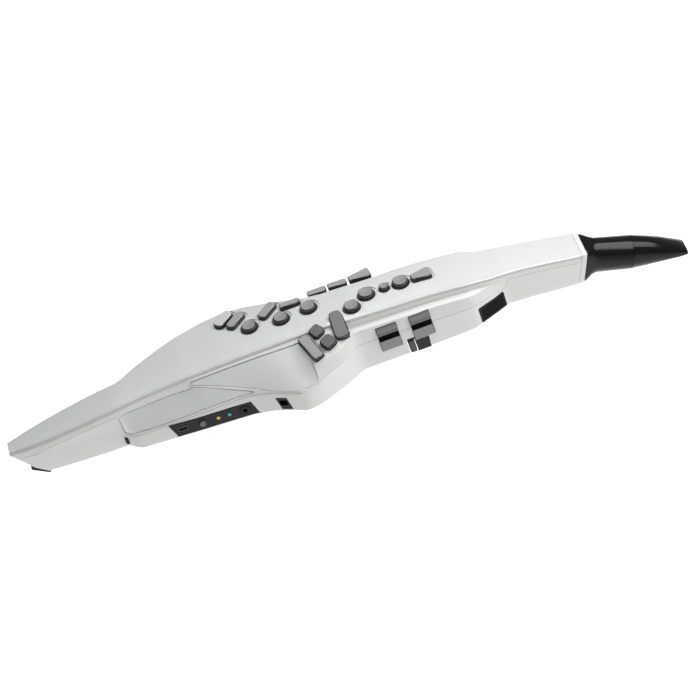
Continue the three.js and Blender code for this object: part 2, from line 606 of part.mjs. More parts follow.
// Palm keys: rockers moulded with a lobe over a deep groove, in the side block's wall.
// The profile is in shares of the palm key's own height and proud depth.
const palmHeight = 23;
const palmDepth = 7.4;         // wall plane to the nose of the lobe
const palmLength = 16.8;
const palmWallShare = 0.312;   // wall plane, share of the body's width
const palmFootZ = 11.6;
const palmTopShare = 0.96;
const palmBackShare = 0.62;    // inner end of the lobe, share of the proud depth
const palmProfileShares = [
  [-0.5, 0], [0.2, 0], [0.26, 0.05], [0.26, 0.44], [-0.22, 0.47], [-0.22, 0.66],
  [0.42, 0.74], [0.47, 0.8], [0.42, 0.85], [-0.42, palmTopShare], [-palmBackShare, 0.94],
  [-palmBackShare, 0.6], [-0.5, 0.55],
];
const palmFlangeTopShare = 0.55;
const palmKeys = [
  { name: 'palm_key_d', along: 0.6516 },
  { name: 'palm_key_e_flat', along: 0.7085 },
];
const palmWallY = -palmWallShare * bodyWidth;
const palmInnerY = palmWallY + wall + seam;
for (const { name, along } of palmKeys) {
  const x = alongBody(along);
  const outline = polygon(palmProfileShares.map(([out, up]) => [out * palmDepth, up * palmHeight]));
  const side = prism(outline, -palmLength / 2, palmLength / 2);
  // Profile plane (out, up) onto (-Y, Z), extruded along X
  const stand = new THREE.Matrix4().makeBasis(
    new THREE.Vector3(0, -1, 0), new THREE.Vector3(0, 0, 1), new THREE.Vector3(-1, 0, 0));
  const frame = frameAt(x, palmWallY, palmFootZ).multiply(stand);
  const frameBack = frame.clone().invert();
  const flangeHeight = palmHeight * palmFlangeTopShare;
  const flange = placed(block(palmLength + 2 * flangeGrow, flangeThickness, flangeHeight,
    x, palmInnerY + flangeThickness / 2, palmFootZ + flangeHeight / 2), frameBack);
  addPiece(name, side.add(flange), finish.key, frame);
  const back = palmBackShare * palmDepth + keyTravel + runningGap;
  const slot = palmHeight * palmTopShare + 2 * runningGap;
  keyHoles.push(block(palmLength + 2 * runningGap, 2 * back, slot,
    x, palmWallY, palmFootZ - runningGap + slot / 2));
}

for (const hole of keyHoles) {
  topPlate = topPlate.subtract(hole);
  upperCasing = upperCasing.subtract(hole);
  lowerCasing = lowerCasing.subtract(hole);
}

// Side wing panels: thin skins let into the slope between the ridge and the rim
const panelThickness = 1;
const panelInset = 0.35;       // skin below the casing's surface
const panelGroove = 1.1;       // open groove along the upper panel's top edge
// Edges as shares of the slope from the ridge (0) to the rim (1), along the body
const lowerPanelShares = {
  stations: [
    0.1905, 0.194, 0.203, 0.236, 0.286, 0.312, 0.322, 0.336, 0.3525, 0.369, 0.386, 0.402, 0.4125,
  ],
  top: guide([
    [0.1905, 0.16], [0.194, 0.07], [0.203, 0.025], [0.236, 0.015], [0.286, 0.015], [0.312, 0.07],
    [0.322, 0.195], [0.336, 0.295], [0.3525, 0.43], [0.386, 0.7], [0.4125, 0.895],
  ]),
  bottom: guide([[0.1905, 0.83], [0.194, 0.89], [0.3, 0.895], [0.4125, 0.925]]),
};
const upperPanelShares = {
  stations: [0.3225, 0.336, 0.3525, 0.369, 0.386, 0.403, 0.42, 0.436, 0.45, 0.464, 0.485, 0.5, 0.52],
  top: guide([[0.3225, 0.06], [0.52, 0.06]]),
  bottom: guide([
    [0.3225, 0.14], [0.336, 0.225], [0.3525, 0.33], [0.369, 0.46], [0.386, 0.59], [0.403, 0.715],
    [0.42, 0.82], [0.436, 0.905], [0.45, 0.94], [0.52, 0.915],
  ]),
};

// A point on the sloped face: share t from the ridge to the rim, raised along the outward normal
function slopePoint(x, t, raise) {
  const ridge = cornerAt('ridgeNear', x);
  const ledge = cornerAt('ledgeNear', x);
  const rim = cornerAt('rimNear', x);
  const path = new THREE.CurvePath();
  path.add(new THREE.LineCurve(ridge, ledge));
  path.add(new THREE.LineCurve(ledge, rim));
  const point = path.getPoint(t);
  const fall = rim.clone().sub(ridge).normalize();
  return new THREE.Vector3(x, point.x + fall.y * raise, point.y - fall.x * raise);
}

function slopeSkin({ stations: shares, top, bottom }, outer, inner, grow, topGrow = grow) {
  return loft(shares.map((share, i) => {
    const end = i === 0 ? -1 : Number(i === shares.length - 1);
    const x = alongBody(share) + end * grow;
    const span = cornerAt('ridgeNear', x).distanceTo(cornerAt('rimNear', x));
    const start = top(share) - topGrow / span;
    const finishShare = bottom(share) + grow / span;
    const middle = (start + finishShare) / 2;
    return [
      slopePoint(x, start, outer), slopePoint(x, middle, outer), slopePoint(x, finishShare, outer),
      slopePoint(x, finishShare, inner), slopePoint(x, middle, inner), slopePoint(x, start, inner),
    ];
  }));
}

const panels = [
  ['wing_panel_lower', lowerPanelShares, seam],
  ['wing_panel_upper', upperPanelShares, panelGroove],
];
for (const [name, shares, groove] of panels) {
  const skin = slopeSkin(shares, -panelInset, -panelInset - panelThickness, 0);
  addPiece(name, skin.subtract(stripHole), finish.silver);
  const pocket = slopeSkin(shares, overrun / 8, -panelInset - panelThickness - seam, seam, groove);
  upperCasing = upperCasing.subtract(pocket);
  lowerCasing = lowerCasing.subtract(pocket);
}

// Jack panel: a black plate in the wing's wall, with its sockets, button and lights.
// Its frame lies on the wall: u along the wall, v up, w out of the wall.
function wallFrame(along, wallShare, z, turn) {
  const outward = frameAt(alongBody(along), -wallShare * bodyWidth, z, 0, turn);
  const basis = new THREE.Matrix4().makeBasis(
    new THREE.Vector3(1, 0, 0), new THREE.Vector3(0, 0, 1), new THREE.Vector3(0, -1, 0));
  return outward.multiply(basis);
}
const jackPanelLength = 71;
const jackPanelHeight = 12.8;
const jackPanelSlant = 4.5;    // ends lean back by this much
const jackPanelThickness = 1.8;
const jackPanelZ = 8;
const jackPanelTurn = THREE.MathUtils.degToRad(-5);
const jackFrame = wallFrame(0.3345, 0.3585, jackPanelZ, jackPanelTurn);

function leaningPlate(length, height, slant, grow = 0) {
  const half = length / 2 + grow;
  const up = height / 2 + grow;
  return polygon([[-half + slant, -up], [half + slant / 2, -up], [half - slant / 2, up], [-half, up]]);
}
const jackOutline = (grow) => leaningPlate(jackPanelLength, jackPanelHeight, jackPanelSlant, grow);
const jackPlate = prism(jackOutline(0), -jackPanelThickness, 0);
const jackCut = prism(jackOutline(seam), -wall * 3, wall * 3);
lowerCasing = lowerCasing.subtract(placed(jackCut, jackFrame));

const usbAt = -25.5;           // places along the jack panel from its middle
const powerAt = -8.8;
const lampAt = 4.4;
const lampPitch = 9.4;
const phonesAt = 27;
const usbWidth = 9;
const usbHeight = 4.6;
const powerRadius = 2.6;
const powerTravel = 1;
const lampRadius = 1.5;
const phonesRadius = 4.3;
const phonesBore = 1.9;
const bodyDepth = 9;           // socket bodies behind the panel
const socketWall = 1;

const usbHole = block(usbWidth + 2 * seam, usbHeight + 2 * seam, overrun, usbAt, 0, 0);
const powerHole = placed(post(powerRadius + seam, -overrun, overrun), frameAt(powerAt, 0, 0));
const phonesHole = placed(post(phonesRadius + seam, -overrun, overrun), frameAt(phonesAt, 0, 0));
let jackPanel = jackPlate.subtract(usbHole).subtract(powerHole).subtract(phonesHole);
for (const at of [lampAt, lampAt + lampPitch]) {
  const lampHole = post(lampRadius + seam, -overrun, overrun, 12);
  jackPanel = jackPanel.subtract(placed(lampHole, frameAt(at, 0, 0)));
}
addPiece('jack_panel', jackPanel, finish.black, jackFrame);

const usbBody = block(usbWidth, usbHeight, bodyDepth, usbAt, 0, -bodyDepth / 2);
const usbCavity = block(usbWidth - 2 * socketWall, usbHeight - 2 * socketWall, bodyDepth,
  usbAt, 0, socketWall - bodyDepth / 2);
const usbTongue = block(usbWidth / 2, socketWall / 2, bodyDepth - socketWall,
  usbAt, 0, -(bodyDepth + socketWall) / 2);
addPiece('usb_socket', usbBody.subtract(usbCavity).add(usbTongue), finish.metal, jackFrame);

const phonesBody = post(phonesRadius, -bodyDepth, socketWall / 2);
const phonesCavity = post(phonesBore, -bodyDepth + socketWall, overrun);
const phonesJack = placed(phonesBody.subtract(phonesCavity), frameAt(phonesAt, 0, 0));
addPiece('phones_jack', phonesJack, finish.black, jackFrame);

const behindPanel = -jackPanelThickness - seam;
const powerCap = post(powerRadius, behindPanel, powerTravel + socketWall);
const powerFlange = post(powerRadius + socketWall, behindPanel - socketWall, behindPanel);
const powerFrame = jackFrame.clone().multiply(frameAt(powerAt, 0, 0));
addPiece('power_button', powerCap.add(powerFlange), finish.key, powerFrame);

const guideBack = behindPanel - seam - socketWall;
let lampGuide = block(lampPitch + 2 * lampRadius, lampRadius, socketWall,
  lampAt + lampPitch / 2, 0, guideBack + socketWall / 2);
for (const at of [lampAt, lampAt + lampPitch]) {
  lampGuide = lampGuide.add(placed(post(lampRadius, guideBack, 0, 12), frameAt(at, 0, 0)));
}
addPiece('lamp_light_guide', lampGuide, finish.lens, jackFrame);

// Second socket in the wall that runs out to the wing's corner
const portLength = 11;
const portHeight = 12.2;
const portSlant = 3;
const portZ = 8.7;
const portTurn = THREE.MathUtils.degToRad(-29);
const portFrame = wallFrame(0.4528, 0.4695, portZ, portTurn);
const portMouthLength = 7;
const portMouthHeight = 5.4;
const portOutline = (grow) => leaningPlate(portLength, portHeight, portSlant, grow);
const portPlate = prism(portOutline(0), -jackPanelThickness, 0);
const behindPort = (grow) => block(portMouthLength + grow, portMouthHeight + grow, bodyDepth,
  0, 0, -bodyDepth / 2 - seam);
const portMouth = block(portMouthLength, portMouthHeight, bodyDepth, 0, 0, socketWall - bodyDepth / 2);
const dcSocket = portPlate.add(behindPort(2 * socketWall)).subtract(portMouth);
addPiece('dc_socket', dcSocket, finish.black, portFrame);
const portCut = prism(portOutline(seam), -wall * 3, wall * 3).add(behindPort(4 * socketWall));
lowerCasing = lowerCasing.subtract(placed(portCut, portFrame));

// Mouth end, in the mouth frame: x down, y across, z out along the mouthpiece's axis
// Section exponents: 2 is round, more is squarer
const roundSection = 2;
const softSection = 2.8;
const tipSection = 3;
const boxSection = 5;
function mouthRing({ z, across, up, down, square }) {
  const sides = 24;
  return Array.from({ length: sides }, (_, i) => {
    const angle = (i + 0.5) / sides * 2 * Math.PI;
    const power = (value) => Math.sign(value) * Math.abs(value) ** (2 / square);
    const depth = Math.cos(angle) > 0 ? down : up;
    return new THREE.Vector3(depth * power(Math.cos(angle)), across * power(Math.sin(angle)), z);
  });
}
const socketRootAcross = 16;
const socketRootUp = 14;
const socketRootDown = 17.2;
const socketLength = 41.5;
const flareLength = 11.6;
const barrelStart = 14.3;
const barrelRadius = 13.9;
const airway = 3;
const spigotRadius = 9;
const spigotReach = 17;
const rootSpigot = 9;
const rootRadius = 7;
const socketRoot = { across: socketRootAcross, up: socketRootUp, down: socketRootDown, square: boxSection };
const socketSkin = loft([
  { z: seam, ...socketRoot },
  { z: flareLength * 0.2, ...socketRoot },
  { z: flareLength * 0.6, across: barrelStart * 1.04, up: barrelStart, down: barrelStart * 1.02,
    square: softSection },
  { z: flareLength, across: barrelStart, up: barrelStart, down: barrelStart, square: roundSection },
  { z: socketLength, across: barrelRadius, up: barrelRadius, down: barrelRadius, square: roundSection },
].map(mouthRing));
const spigot = post(spigotRadius, socketLength - wall, socketLength + spigotReach);
const rootPlug = post(rootRadius, -rootSpigot, wall);
const airHole = post(airway, -overrun, socketLength + overrun, 12);
const mouthSocket = socketSkin.add(spigot).add(rootPlug).subtract(airHole);
addPiece('mouthpiece_socket', mouthSocket, finish.black, mouthFrame);

// Mouthpiece: barrel and beak, pulled off its spigot along the axis
const mouthStart = socketLength + seam;
const beakStart = 56;
const beakRadius = 12.2;
const tipAt = 89.5;
const tipAcross = 9;
const tipUp = 1.6;
const tipDown = 3.4;
// Beak sections: share along it, then across, up and down as shares of its radius
const beakShares = [[0.35, 0.98, 0.76, 0.7, 2.2], [0.8, 0.82, 0.36, 0.47, 2.6]];
const beakSkin = loft([
  { z: mouthStart, across: barrelRadius, up: barrelRadius, down: barrelRadius, square: roundSection },
  { z: beakStart, across: beakRadius, up: beakRadius, down: beakRadius, square: roundSection },
  ...beakShares.map(([along, across, up, down, square]) => ({
    z: THREE.MathUtils.lerp(beakStart, tipAt, along),
    across: across * beakRadius, up: up * beakRadius, down: down * beakRadius, square,
  })),
  { z: tipAt, across: tipAcross, up: tipUp, down: tipDown, square: tipSection },
].map(mouthRing));
const mouthBore = post(spigotRadius + runningGap, mouthStart - overrun, socketLength + spigotReach + seam);
const windway = loft([
  { z: socketLength + spigotReach, across: airway * 2, up: airway, down: airway, square: roundSection },
  { z: tipAt + overrun / 8, across: tipAcross * 0.6, up: tipUp * 0.3, down: tipUp * 0.3, square: roundSection },
].map(mouthRing));

// Reed: the beak's lower skin, parted from it by a gap that opens towards the tip
const reedHeel = 61;
const reedDepth = 2;
const reedWidth = 13.6;
const biteGap = 0.9;
const reedFall = Math.atan2(beakRadius - tipDown, tipAt - beakStart);
const heelDown = beakRadius - (reedHeel - beakStart) * Math.tan(reedFall);
const reedFrame = frameAt(heelDown, 0, reedHeel, 0, 0, -reedFall);
const reedLength = tipAt - reedHeel + wall;
const reedSpace = placed(
  block(overrun / 2, reedWidth, reedLength, overrun / 4 - reedDepth, 0, reedLength / 2), reedFrame);
const gapFrame = frameAt(heelDown, 0, reedHeel, 0, 0, -reedFall - Math.atan2(biteGap, reedLength));
const reedCut = placed(block(overrun / 2, reedWidth + 2 * seam, reedLength + overrun,
  overrun / 4 - reedDepth - seam, 0, (reedLength + overrun) / 2 - seam), gapFrame);
const beak = beakSkin.subtract(mouthBore).subtract(windway).subtract(reedCut);
addPiece('mouthpiece', beak, finish.black, mouthFrame);
addPiece('reed', beakSkin.intersect(reedSpace), finish.rubber, mouthFrame);

// Speakers behind slotted grilles, in the block's tapered faces on both sides
const grilleLength = 26;
const grilleHeight = 14.4;
const grilleThickness = 1.4;
const grilleFrameWidth = 1.8;
const slotCount = 5;
const slotShare = 0.55;
const driverRadius = 6.6;
const driverDepth = 8;
const grilleAlong = 0.8296;
const grilleZ = 8.9;
const wallMiddle = (x) => (cornerAt('rimNear', x).x + cornerAt('baseNear', x).x) / 2;
const taperStart = alongBody(0.804);
const taperEnd = alongBody(0.86);
const grilleTurn = Math.atan2(wallMiddle(taperEnd) - wallMiddle(taperStart), taperEnd - taperStart);
for (const [side, mirror] of [['near', 1], ['far', -1]]) {
  const wallY = mirror * wallMiddle(alongBody(grilleAlong));
  const frame = frameAt(alongBody(grilleAlong), wallY, grilleZ, 0, mirror * grilleTurn)
    .multiply(new THREE.Matrix4().makeBasis(
      new THREE.Vector3(mirror, 0, 0), new THREE.Vector3(0, 0, 1), new THREE.Vector3(0, -mirror, 0)));
  let grille = prism(roundedBar(grilleLength, grilleHeight, grilleThickness), -grilleThickness, 0);
  const pitch = (grilleHeight - 2 * grilleFrameWidth) / slotCount;
  for (let i = 0; i < slotCount; i += 1) {
    const at = (i - (slotCount - 1) / 2) * pitch;
    const slot = block(grilleLength - 2 * grilleFrameWidth, pitch * slotShare, overrun, 0, at, 0);
    grille = grille.subtract(slot);
  }
  addPiece(`speaker_grille_${side}`, grille, finish.black, frame);
  const opening = roundedBar(grilleLength + 2 * seam, grilleHeight + 2 * seam, grilleThickness);
  lowerCasing = lowerCasing.subtract(placed(prism(opening, -wall * 2, wall * 3), frame));
  const front = -grilleThickness - seam;
  const driver = turned([[0, front - driverDepth], [driverRadius * 0.55, front - driverDepth],
    [driverRadius * 0.55, front - driverDepth / 2], [driverRadius, front - socketWall],
    [driverRadius, front], [driverRadius * 0.85, front],
    [driverRadius * 0.3, front - driverDepth / 4], [0, front - driverDepth / 4]]);
  addPiece(`speaker_driver_${side}`, driver, finish.metal, frame);
}

// Underside: frames look down, with local z out of the base
const downwards = (x, y, z = 0) => frameAt(x, y, z, Math.PI);

// Battery bay: door, tray and four round cells in two rows
const cellRadius = 7.1;
const cellLength = 50.5;
const cellTipRadius = 2.6;
const cellTip = 1.2;
const trayWall = 1.2;
const bayX = alongBody(0.348);
const bayY = -2.5;
const bayLength = 2 * cellLength + 3 * seam;
const bayWidth = 4 * cellRadius + 3 * seam;
const doorThickness = 2;
const trayFoot = wall + seam;
const trayHeight = 2 * cellRadius + trayWall + 2 * seam;
const doorLength = bayLength - 4 * trayWall;
const doorWidth = bayWidth - 2 * trayWall;
addPiece('battery_door', prism(roundedBar(doorLength, doorWidth, wall), -doorThickness, 0),
  finish.white, downwards(bayX, bayY));
lowerCasing = lowerCasing.subtract(placed(
  prism(roundedBar(doorLength + 2 * runningGap, doorWidth + 2 * runningGap, wall), -overrun / 4, overrun / 4),
  downwards(bayX, bayY)));
const trayOuter = block(bayLength + 2 * trayWall, bayWidth + 2 * trayWall, trayHeight,
  bayX, bayY, trayFoot + trayHeight / 2);
const trayInner = block(bayLength, bayWidth, trayHeight, bayX, bayY, trayFoot + trayHeight / 2 - trayWall);
addPiece('battery_tray', trayOuter.subtract(trayInner), finish.black);
for (const [row, col] of [[0, 0], [0, 1], [1, 0], [1, 1]]) {
  const x = bayX + (row - 0.5) * (cellLength + seam);
  const y = bayY + (col - 0.5) * (2 * cellRadius + seam);
  const half = cellLength / 2;
  const facing = col === 0 ? Math.PI / 2 : -Math.PI / 2;
  const can = turned([[0, -half], [cellRadius, -half], [cellRadius, half - cellTip],
    [cellTipRadius, half - cellTip], [cellTipRadius, half], [0, half]], 16);
  addPiece(`battery_cell_${1 + row + 2 * col}`, can, finish.cell,
    frameAt(x, y, trayFoot + seam + cellRadius, 0, 0, facing));
}

// Left thumb: rest and two octave keys, in a notch that opens through the near wall
const notchStart = alongBody(0.6763);
const notchLength = 18.4;
const notchNearShare = 0.322;
const notchDeep = 25;
const notchTop = 11;
const octaveNotchTop = 14.4;   // the notch's part over the lower octave key
const octaveNotchLength = 6.9;
const thumbProud = 0.9;
const thumbPlate = 1.5;
const octaveTravel = 1.2;
const notchNear = -notchNearShare * bodyWidth;
const notchMiddle = notchNear + notchDeep / 2;
const notchBlock = (length, top) => block(length, notchDeep + overrun, 2 * top,
  notchStart + length / 2, notchNear + (notchDeep - overrun) / 2, 0);
lowerCasing = lowerCasing.subtract(notchBlock(notchLength, notchTop))
  .subtract(notchBlock(octaveNotchLength, octaveNotchTop));
const restDepth = notchDeep - seam;
const restLength = notchLength - octaveNotchLength - seam;
const restX = notchStart + octaveNotchLength + restLength / 2;
const restPad = block(restLength, restDepth, notchTop - seam + thumbProud,
  restX, notchNear + restDepth / 2, (notchTop - seam - thumbProud) / 2);
const coveLength = octaveNotchLength - 2 * seam;
const coveX = notchStart + octaveNotchLength / 2;
const restBack = block(coveLength + 2 * seam, thumbPlate, notchTop - seam + thumbProud,
  coveX + seam, notchNear + restDepth - thumbPlate / 2, (notchTop - seam - thumbProud) / 2);
const coveBack = block(coveLength, thumbPlate, octaveNotchTop - seam,
  coveX, notchNear + restDepth - thumbPlate / 2, (octaveNotchTop - seam) / 2);
const coveRoof = block(coveLength, restDepth, thumbPlate,
  coveX, notchNear + restDepth / 2, octaveNotchTop - seam - thumbPlate / 2);
addPiece('thumb_rest', restPad.add(restBack).add(coveBack).add(coveRoof), finish.rubber);
const octaveLength = coveLength - 2 * runningGap;
const octaveDepth = restDepth - thumbPlate - 2 * runningGap;
const octaveTop = octaveNotchTop - seam - thumbPlate - octaveTravel - runningGap;
const octaveHeight = octaveTop + thumbProud;
const octaveBody = prism(roundedBar(octaveLength, octaveDepth, socketWall), 0, octaveHeight, 2);
addPiece('octave_key_low', octaveBody, finish.key, frameAt(coveX,
  notchNear + runningGap + octaveDepth / 2, -thumbProud));
const octaveHigh = { length: 8, width: 20, radius: 2 };
const floorSeat = thumbProud + wall + flangeLap + seam;
const octaveHighX = notchStart + notchLength + wall + octaveHigh.length / 2;
const octaveHighFrame = downwards(octaveHighX, notchMiddle + wall, -thumbProud);
addPiece('octave_key_high', shapedKey(barOutline(octaveHigh), floorSeat), finish.key, octaveHighFrame);
lowerCasing = lowerCasing.subtract(placed(
  prism(barOutline(octaveHigh)(runningGap), -floorSeat - wall, overrun / 4), octaveHighFrame));

// Thumb controller: a rocking pad on a stem through the base
const padRadius = 6.5;
const padHeight = 2.4;
const padGap = 0.7;
const stemRadius = 2.5;
const stemGap = 0.6;
const padSpacing = 1.8;
const padX = octaveHighX + octaveHigh.length / 2 + padSpacing + padRadius;
const padUnder = -wall - padGap;
const padProfile = [
  [0, padGap + padHeight - dishDepth], [padRadius * 0.8, padGap + padHeight],
  [padRadius, padGap + padHeight * 0.7], [padRadius, padGap], [stemRadius, padGap],
  [stemRadius, padUnder], [padRadius * 0.8, padUnder],
  [padRadius * 0.8, padUnder - flangeThickness], [0, padUnder - flangeThickness],
];
const padFrame = downwards(padX, notchMiddle + wall);
addPiece('thumb_controller', turned(padProfile.reverse()), finish.rubber, padFrame);
lowerCasing = lowerCasing.subtract(placed(post(stemRadius + stemGap, -overrun / 4, overrun / 4), padFrame));

// Right thumb hook: a bent strap, its channel open towards the bell
const hookWidth = 15;
const hookGauge = 3;
const hookReach = 19;
const hookDrop = 15.5;
const hookBend = 5;
const hookX = alongBody(0.52);
const hookOutline = new THREE.Shape();
hookOutline.moveTo(-hookReach, -seam);
hookOutline.lineTo(hookGauge, -seam);
hookOutline.lineTo(hookGauge, -hookDrop + hookBend);
hookOutline.quadraticCurveTo(hookGauge, -hookDrop, hookGauge - hookBend, -hookDrop);
hookOutline.lineTo(-hookReach * 0.55, -hookDrop + hookGauge * 0.6);
hookOutline.lineTo(-hookReach * 0.55, -hookDrop + hookGauge * 1.5);
hookOutline.lineTo(-hookBend, -hookDrop + hookGauge);
hookOutline.quadraticCurveTo(0, -hookDrop + hookGauge, 0, -hookDrop + hookGauge + hookBend / 2);
hookOutline.lineTo(0, -hookGauge);
hookOutline.lineTo(-hookReach, -hookGauge + socketWall / 2);
addPiece('thumb_hook', prism(hookOutline, -hookWidth / 2, hookWidth / 2, 5), finish.black,
  frameAt(hookX, 0, 0, Math.PI / 2));

// Strap ring, hanging from the eye of a bracket on the base
const ringRadius = 8;
const ringWire = 1.3;
const bracketWidth = 4;
const bracketLength = 9;
const bracketDrop = 6;
const ringEye = 2;
const ringDrop = 3.3;
const strapX = alongBody(0.6);
const bracket = block(bracketLength, bracketWidth, bracketDrop - seam,
  strapX, 0, -(bracketDrop + seam) / 2);
const eye = placed(post(ringEye, -overrun / 4, overrun / 4), frameAt(strapX, 0, -ringDrop, Math.PI / 2));
addPiece('strap_bracket', bracket.subtract(eye), finish.metal);
const strapRing = solidOf(new THREE.TorusGeometry(ringRadius, ringWire, 6, 24));
const ringFrame = frameAt(strapX, 0, -ringDrop - ringRadius, 0, 0, Math.PI / 2);
addPiece('strap_ring', strapRing, finish.metal, ringFrame);

// Rubber feet: one on the slanted end of the bell, one at the wing's end
const footLength = 18.6;
const footWidth = 13;
const footHeight = 5.2;
const footSunk = 0.9;
const footToe = 3.2;           // its thick edge leans down the slope by this much
const footHeel = 1.3;          // its thickness at the lower end
const footX = alongBody(0.0257);
const footY = -5.5;
const slantTop = alongBody(0.01);
const slantFoot = alongBody(0.04);
const slant = Math.atan2(baseAt(slantTop) - baseAt(slantFoot), slantFoot - slantTop);
const footFrame = downwards(footX, footY, baseAt(footX)).multiply(frameAt(0, 0, 0, 0, 0, -slant));
const onSide = frameAt(0, 0, 0, Math.PI / 2);
const footOutline = polygon([
  [0, seam - footSunk], [footLength, seam - footSunk], [footLength, 0], [footLength - seam, footHeel],
  [footToe, footHeight], [0, 0],
]);
addPiece('bell_foot', placed(prism(footOutline, -footWidth / 2, footWidth / 2), onSide),
  finish.rubber, footFrame);
const footPocket = block(footLength + 2 * seam, footWidth + 2 * seam, overrun,
  footLength / 2, 0, overrun / 2 - footSunk);
lowerCasing = lowerCasing.subtract(placed(footPocket, footFrame));
const bumperWidth = 2.6;
const bumperHeight = 6.6;
const bumperProud = 0.9;
const bumperSunk = 1;
const bumperZ = 6.8;
const bumperTurn = THREE.MathUtils.degToRad(-36);
const bumperFrame = wallFrame(0.1888, 0.2222, bumperZ, bumperTurn);
const bumperBar = (grow) => roundedBar(bumperWidth + 2 * grow, bumperHeight + 2 * grow, socketWall);
addPiece('wing_bumper', prism(bumperBar(0), -bumperSunk, bumperProud), finish.rubber, bumperFrame);
const bumperHole = placed(prism(bumperBar(seam), -bumperSunk - seam, wall), bumperFrame);
lowerCasing = lowerCasing.subtract(bumperHole);

// Key switches: a board with a rubber dome sheet under the plate keys, hung on casing posts
const boardThickness = 1.6;
const sheetThickness = 1.2;
const domeRadius = 3.6;
const postRadius = 2.2;
const boardOutlineShares = [
  [0.388, -0.13], [0.775, -0.13], [0.775, 0.13], [0.58, 0.14], [0.53, 0.2], [0.47, 0.28], [0.388, 0.33],
];
const boardStart = alongBody(0.388);
const boardEnd = alongBody(0.775);
const flangeFoot = plateSeat - keyRise + flangeThickness;
const sheetDepth = flangeFoot + keyTravel + switchGap + socketWall;
const boardPitch = Math.atan2(topAt(boardStart) - topAt(boardEnd), boardEnd - boardStart);
const boardFrame = frameAt(boardStart, 0, topAt(boardStart) - sheetDepth, 0, 0, boardPitch);
const boardOutline = polygon(boardOutlineShares.map(([along, across]) =>
  [alongBody(along) - boardStart, across * bodyWidth]));
const sheetTopAt = (x) => topAt(boardStart) - sheetDepth - (x - boardStart) * Math.tan(boardPitch);
let sheet = placed(prism(boardOutline, -sheetThickness, 0), boardFrame);
const overPlate = [...roundKeys, ...flatKeys];
for (const { along, across } of overPlate) {
  const x = alongBody(along);
  const tip = topAt(x) - flangeFoot - keyTravel - switchGap;
  const dome = post(domeRadius, sheetTopAt(x) - sheetThickness / 2, tip, 10);
  sheet = sheet.add(placed(dome, frameAt(x, across * bodyWidth, 0)));
}
addPiece('key_contact_sheet', sheet, finish.silicone);
const boardTop = -sheetThickness - seam;
const switchBoard = prism(boardOutline, boardTop - boardThickness, boardTop);
addPiece('key_switch_board', switchBoard, finish.board, boardFrame);
const boardPostShares = [[0.4, -0.09], [0.515, -0.09], [0.575, 0.09], [0.762, 0.09]];
for (const [along, across] of boardPostShares) {
  const x = alongBody(along);
  const boardPost = post(postRadius, sheetTopAt(x) + seam, topAt(x) - casingDrop - wall / 2, 10);
  upperCasing = upperCasing.add(placed(boardPost, frameAt(x, across * bodyWidth, 0)));
}

// Main board on posts from the floor
const mainBoardLength = 118;
const mainBoardWidth = 26;
const mainBoardZ = 8;
const mainX = alongBody(0.637);
const mainY = 10;
const mainBoard = block(mainBoardLength, mainBoardWidth, boardThickness,
  mainX, mainY, mainBoardZ + boardThickness / 2);
addPiece('main_board', mainBoard, finish.board);
for (const [u, v] of [[-1, -1], [1, -1], [-1, 1], [1, 1]]) {
  const x = mainX + u * (mainBoardLength / 2 - 2 * postRadius);
  const y = mainY + v * (mainBoardWidth / 2 - 2 * postRadius);
  const floorPost = post(postRadius, wall / 2, mainBoardZ - seam, 10);
  lowerCasing = lowerCasing.add(placed(floorPost, frameAt(x, y, 0)));
}

// Breath sensor on the neck's floor, with a soft tube from the socket
const sensorLength = 14;
const sensorWidth = 12;
const sensorHeight = 7;
const nippleRadius = 1.3;
const nippleLength = 2;
const tubeRadius = 2.8;
const tubeBore = 1.6;
const sensorBack = 42;         // sensor's middle before the neck's end
const sensorX = neckEndX - sensorBack;
const floorFall = baseAt(sensorX - sensorLength) - baseAt(sensorX + sensorLength);
const floorPitch = Math.atan2(floorFall, 2 * sensorLength);
const sensorFrame = frameAt(sensorX, 0, baseAt(sensorX) + wall + 2 * seam, 0, 0, floorPitch);
const sensorBody = block(sensorLength, sensorWidth, sensorHeight, 0, 0, sensorHeight / 2);
const nippleFrame = frameAt(0, 0, sensorHeight / 2, 0, 0, Math.PI / 2);
const nipple = placed(post(nippleRadius, 0, sensorLength / 2 + nippleLength, 10), nippleFrame);
addPiece('breath_sensor', sensorBody.add(nipple), finish.black, sensorFrame);
const tubeStart = new THREE.Vector3(sensorLength / 2 + seam, 0, sensorHeight / 2).applyMatrix4(sensorFrame);
const tubeEnd = new THREE.Vector3(0, 0, -rootSpigot - seam).applyMatrix4(mouthFrame);
const startWay = new THREE.Vector3(sensorLength * 1.2, 0, sensorHeight / 2).applyMatrix4(sensorFrame);
const endWay = new THREE.Vector3(0, 0, -rootSpigot - sensorLength / 2).applyMatrix4(mouthFrame);
const tubeSection = new THREE.Shape().absarc(0, 0, tubeRadius, 0, 2 * Math.PI);
tubeSection.holes.push(new THREE.Path().absarc(0, 0, tubeBore, 0, 2 * Math.PI, true));
const breathTube = solidOf(new THREE.ExtrudeGeometry(tubeSection, {
  steps: 8, curveSegments: 5, extrudePath: new THREE.CubicBezierCurve3(tubeStart, startWay, endWay, tubeEnd),
}));
addPiece('breath_tube', breathTube, finish.silicone);

addPiece('upper_casing', upperCasing, finish.white);
addPiece('lower_casing', lowerCasing, finish.white);
addPiece('top_plate', topPlate, finish.silver);
addPiece('neck_end_ring', neckEndRing, finish.white);

// The origin is the middle of the whole instrument, on the plane of its lowest point
const bounds = new THREE.Box3().setFromObject(instrument, true);
const middle = bounds.getCenter(new THREE.Vector3());
instrument.position.set(-middle.x, -middle.y, -bounds.min.z);

export default instrument;
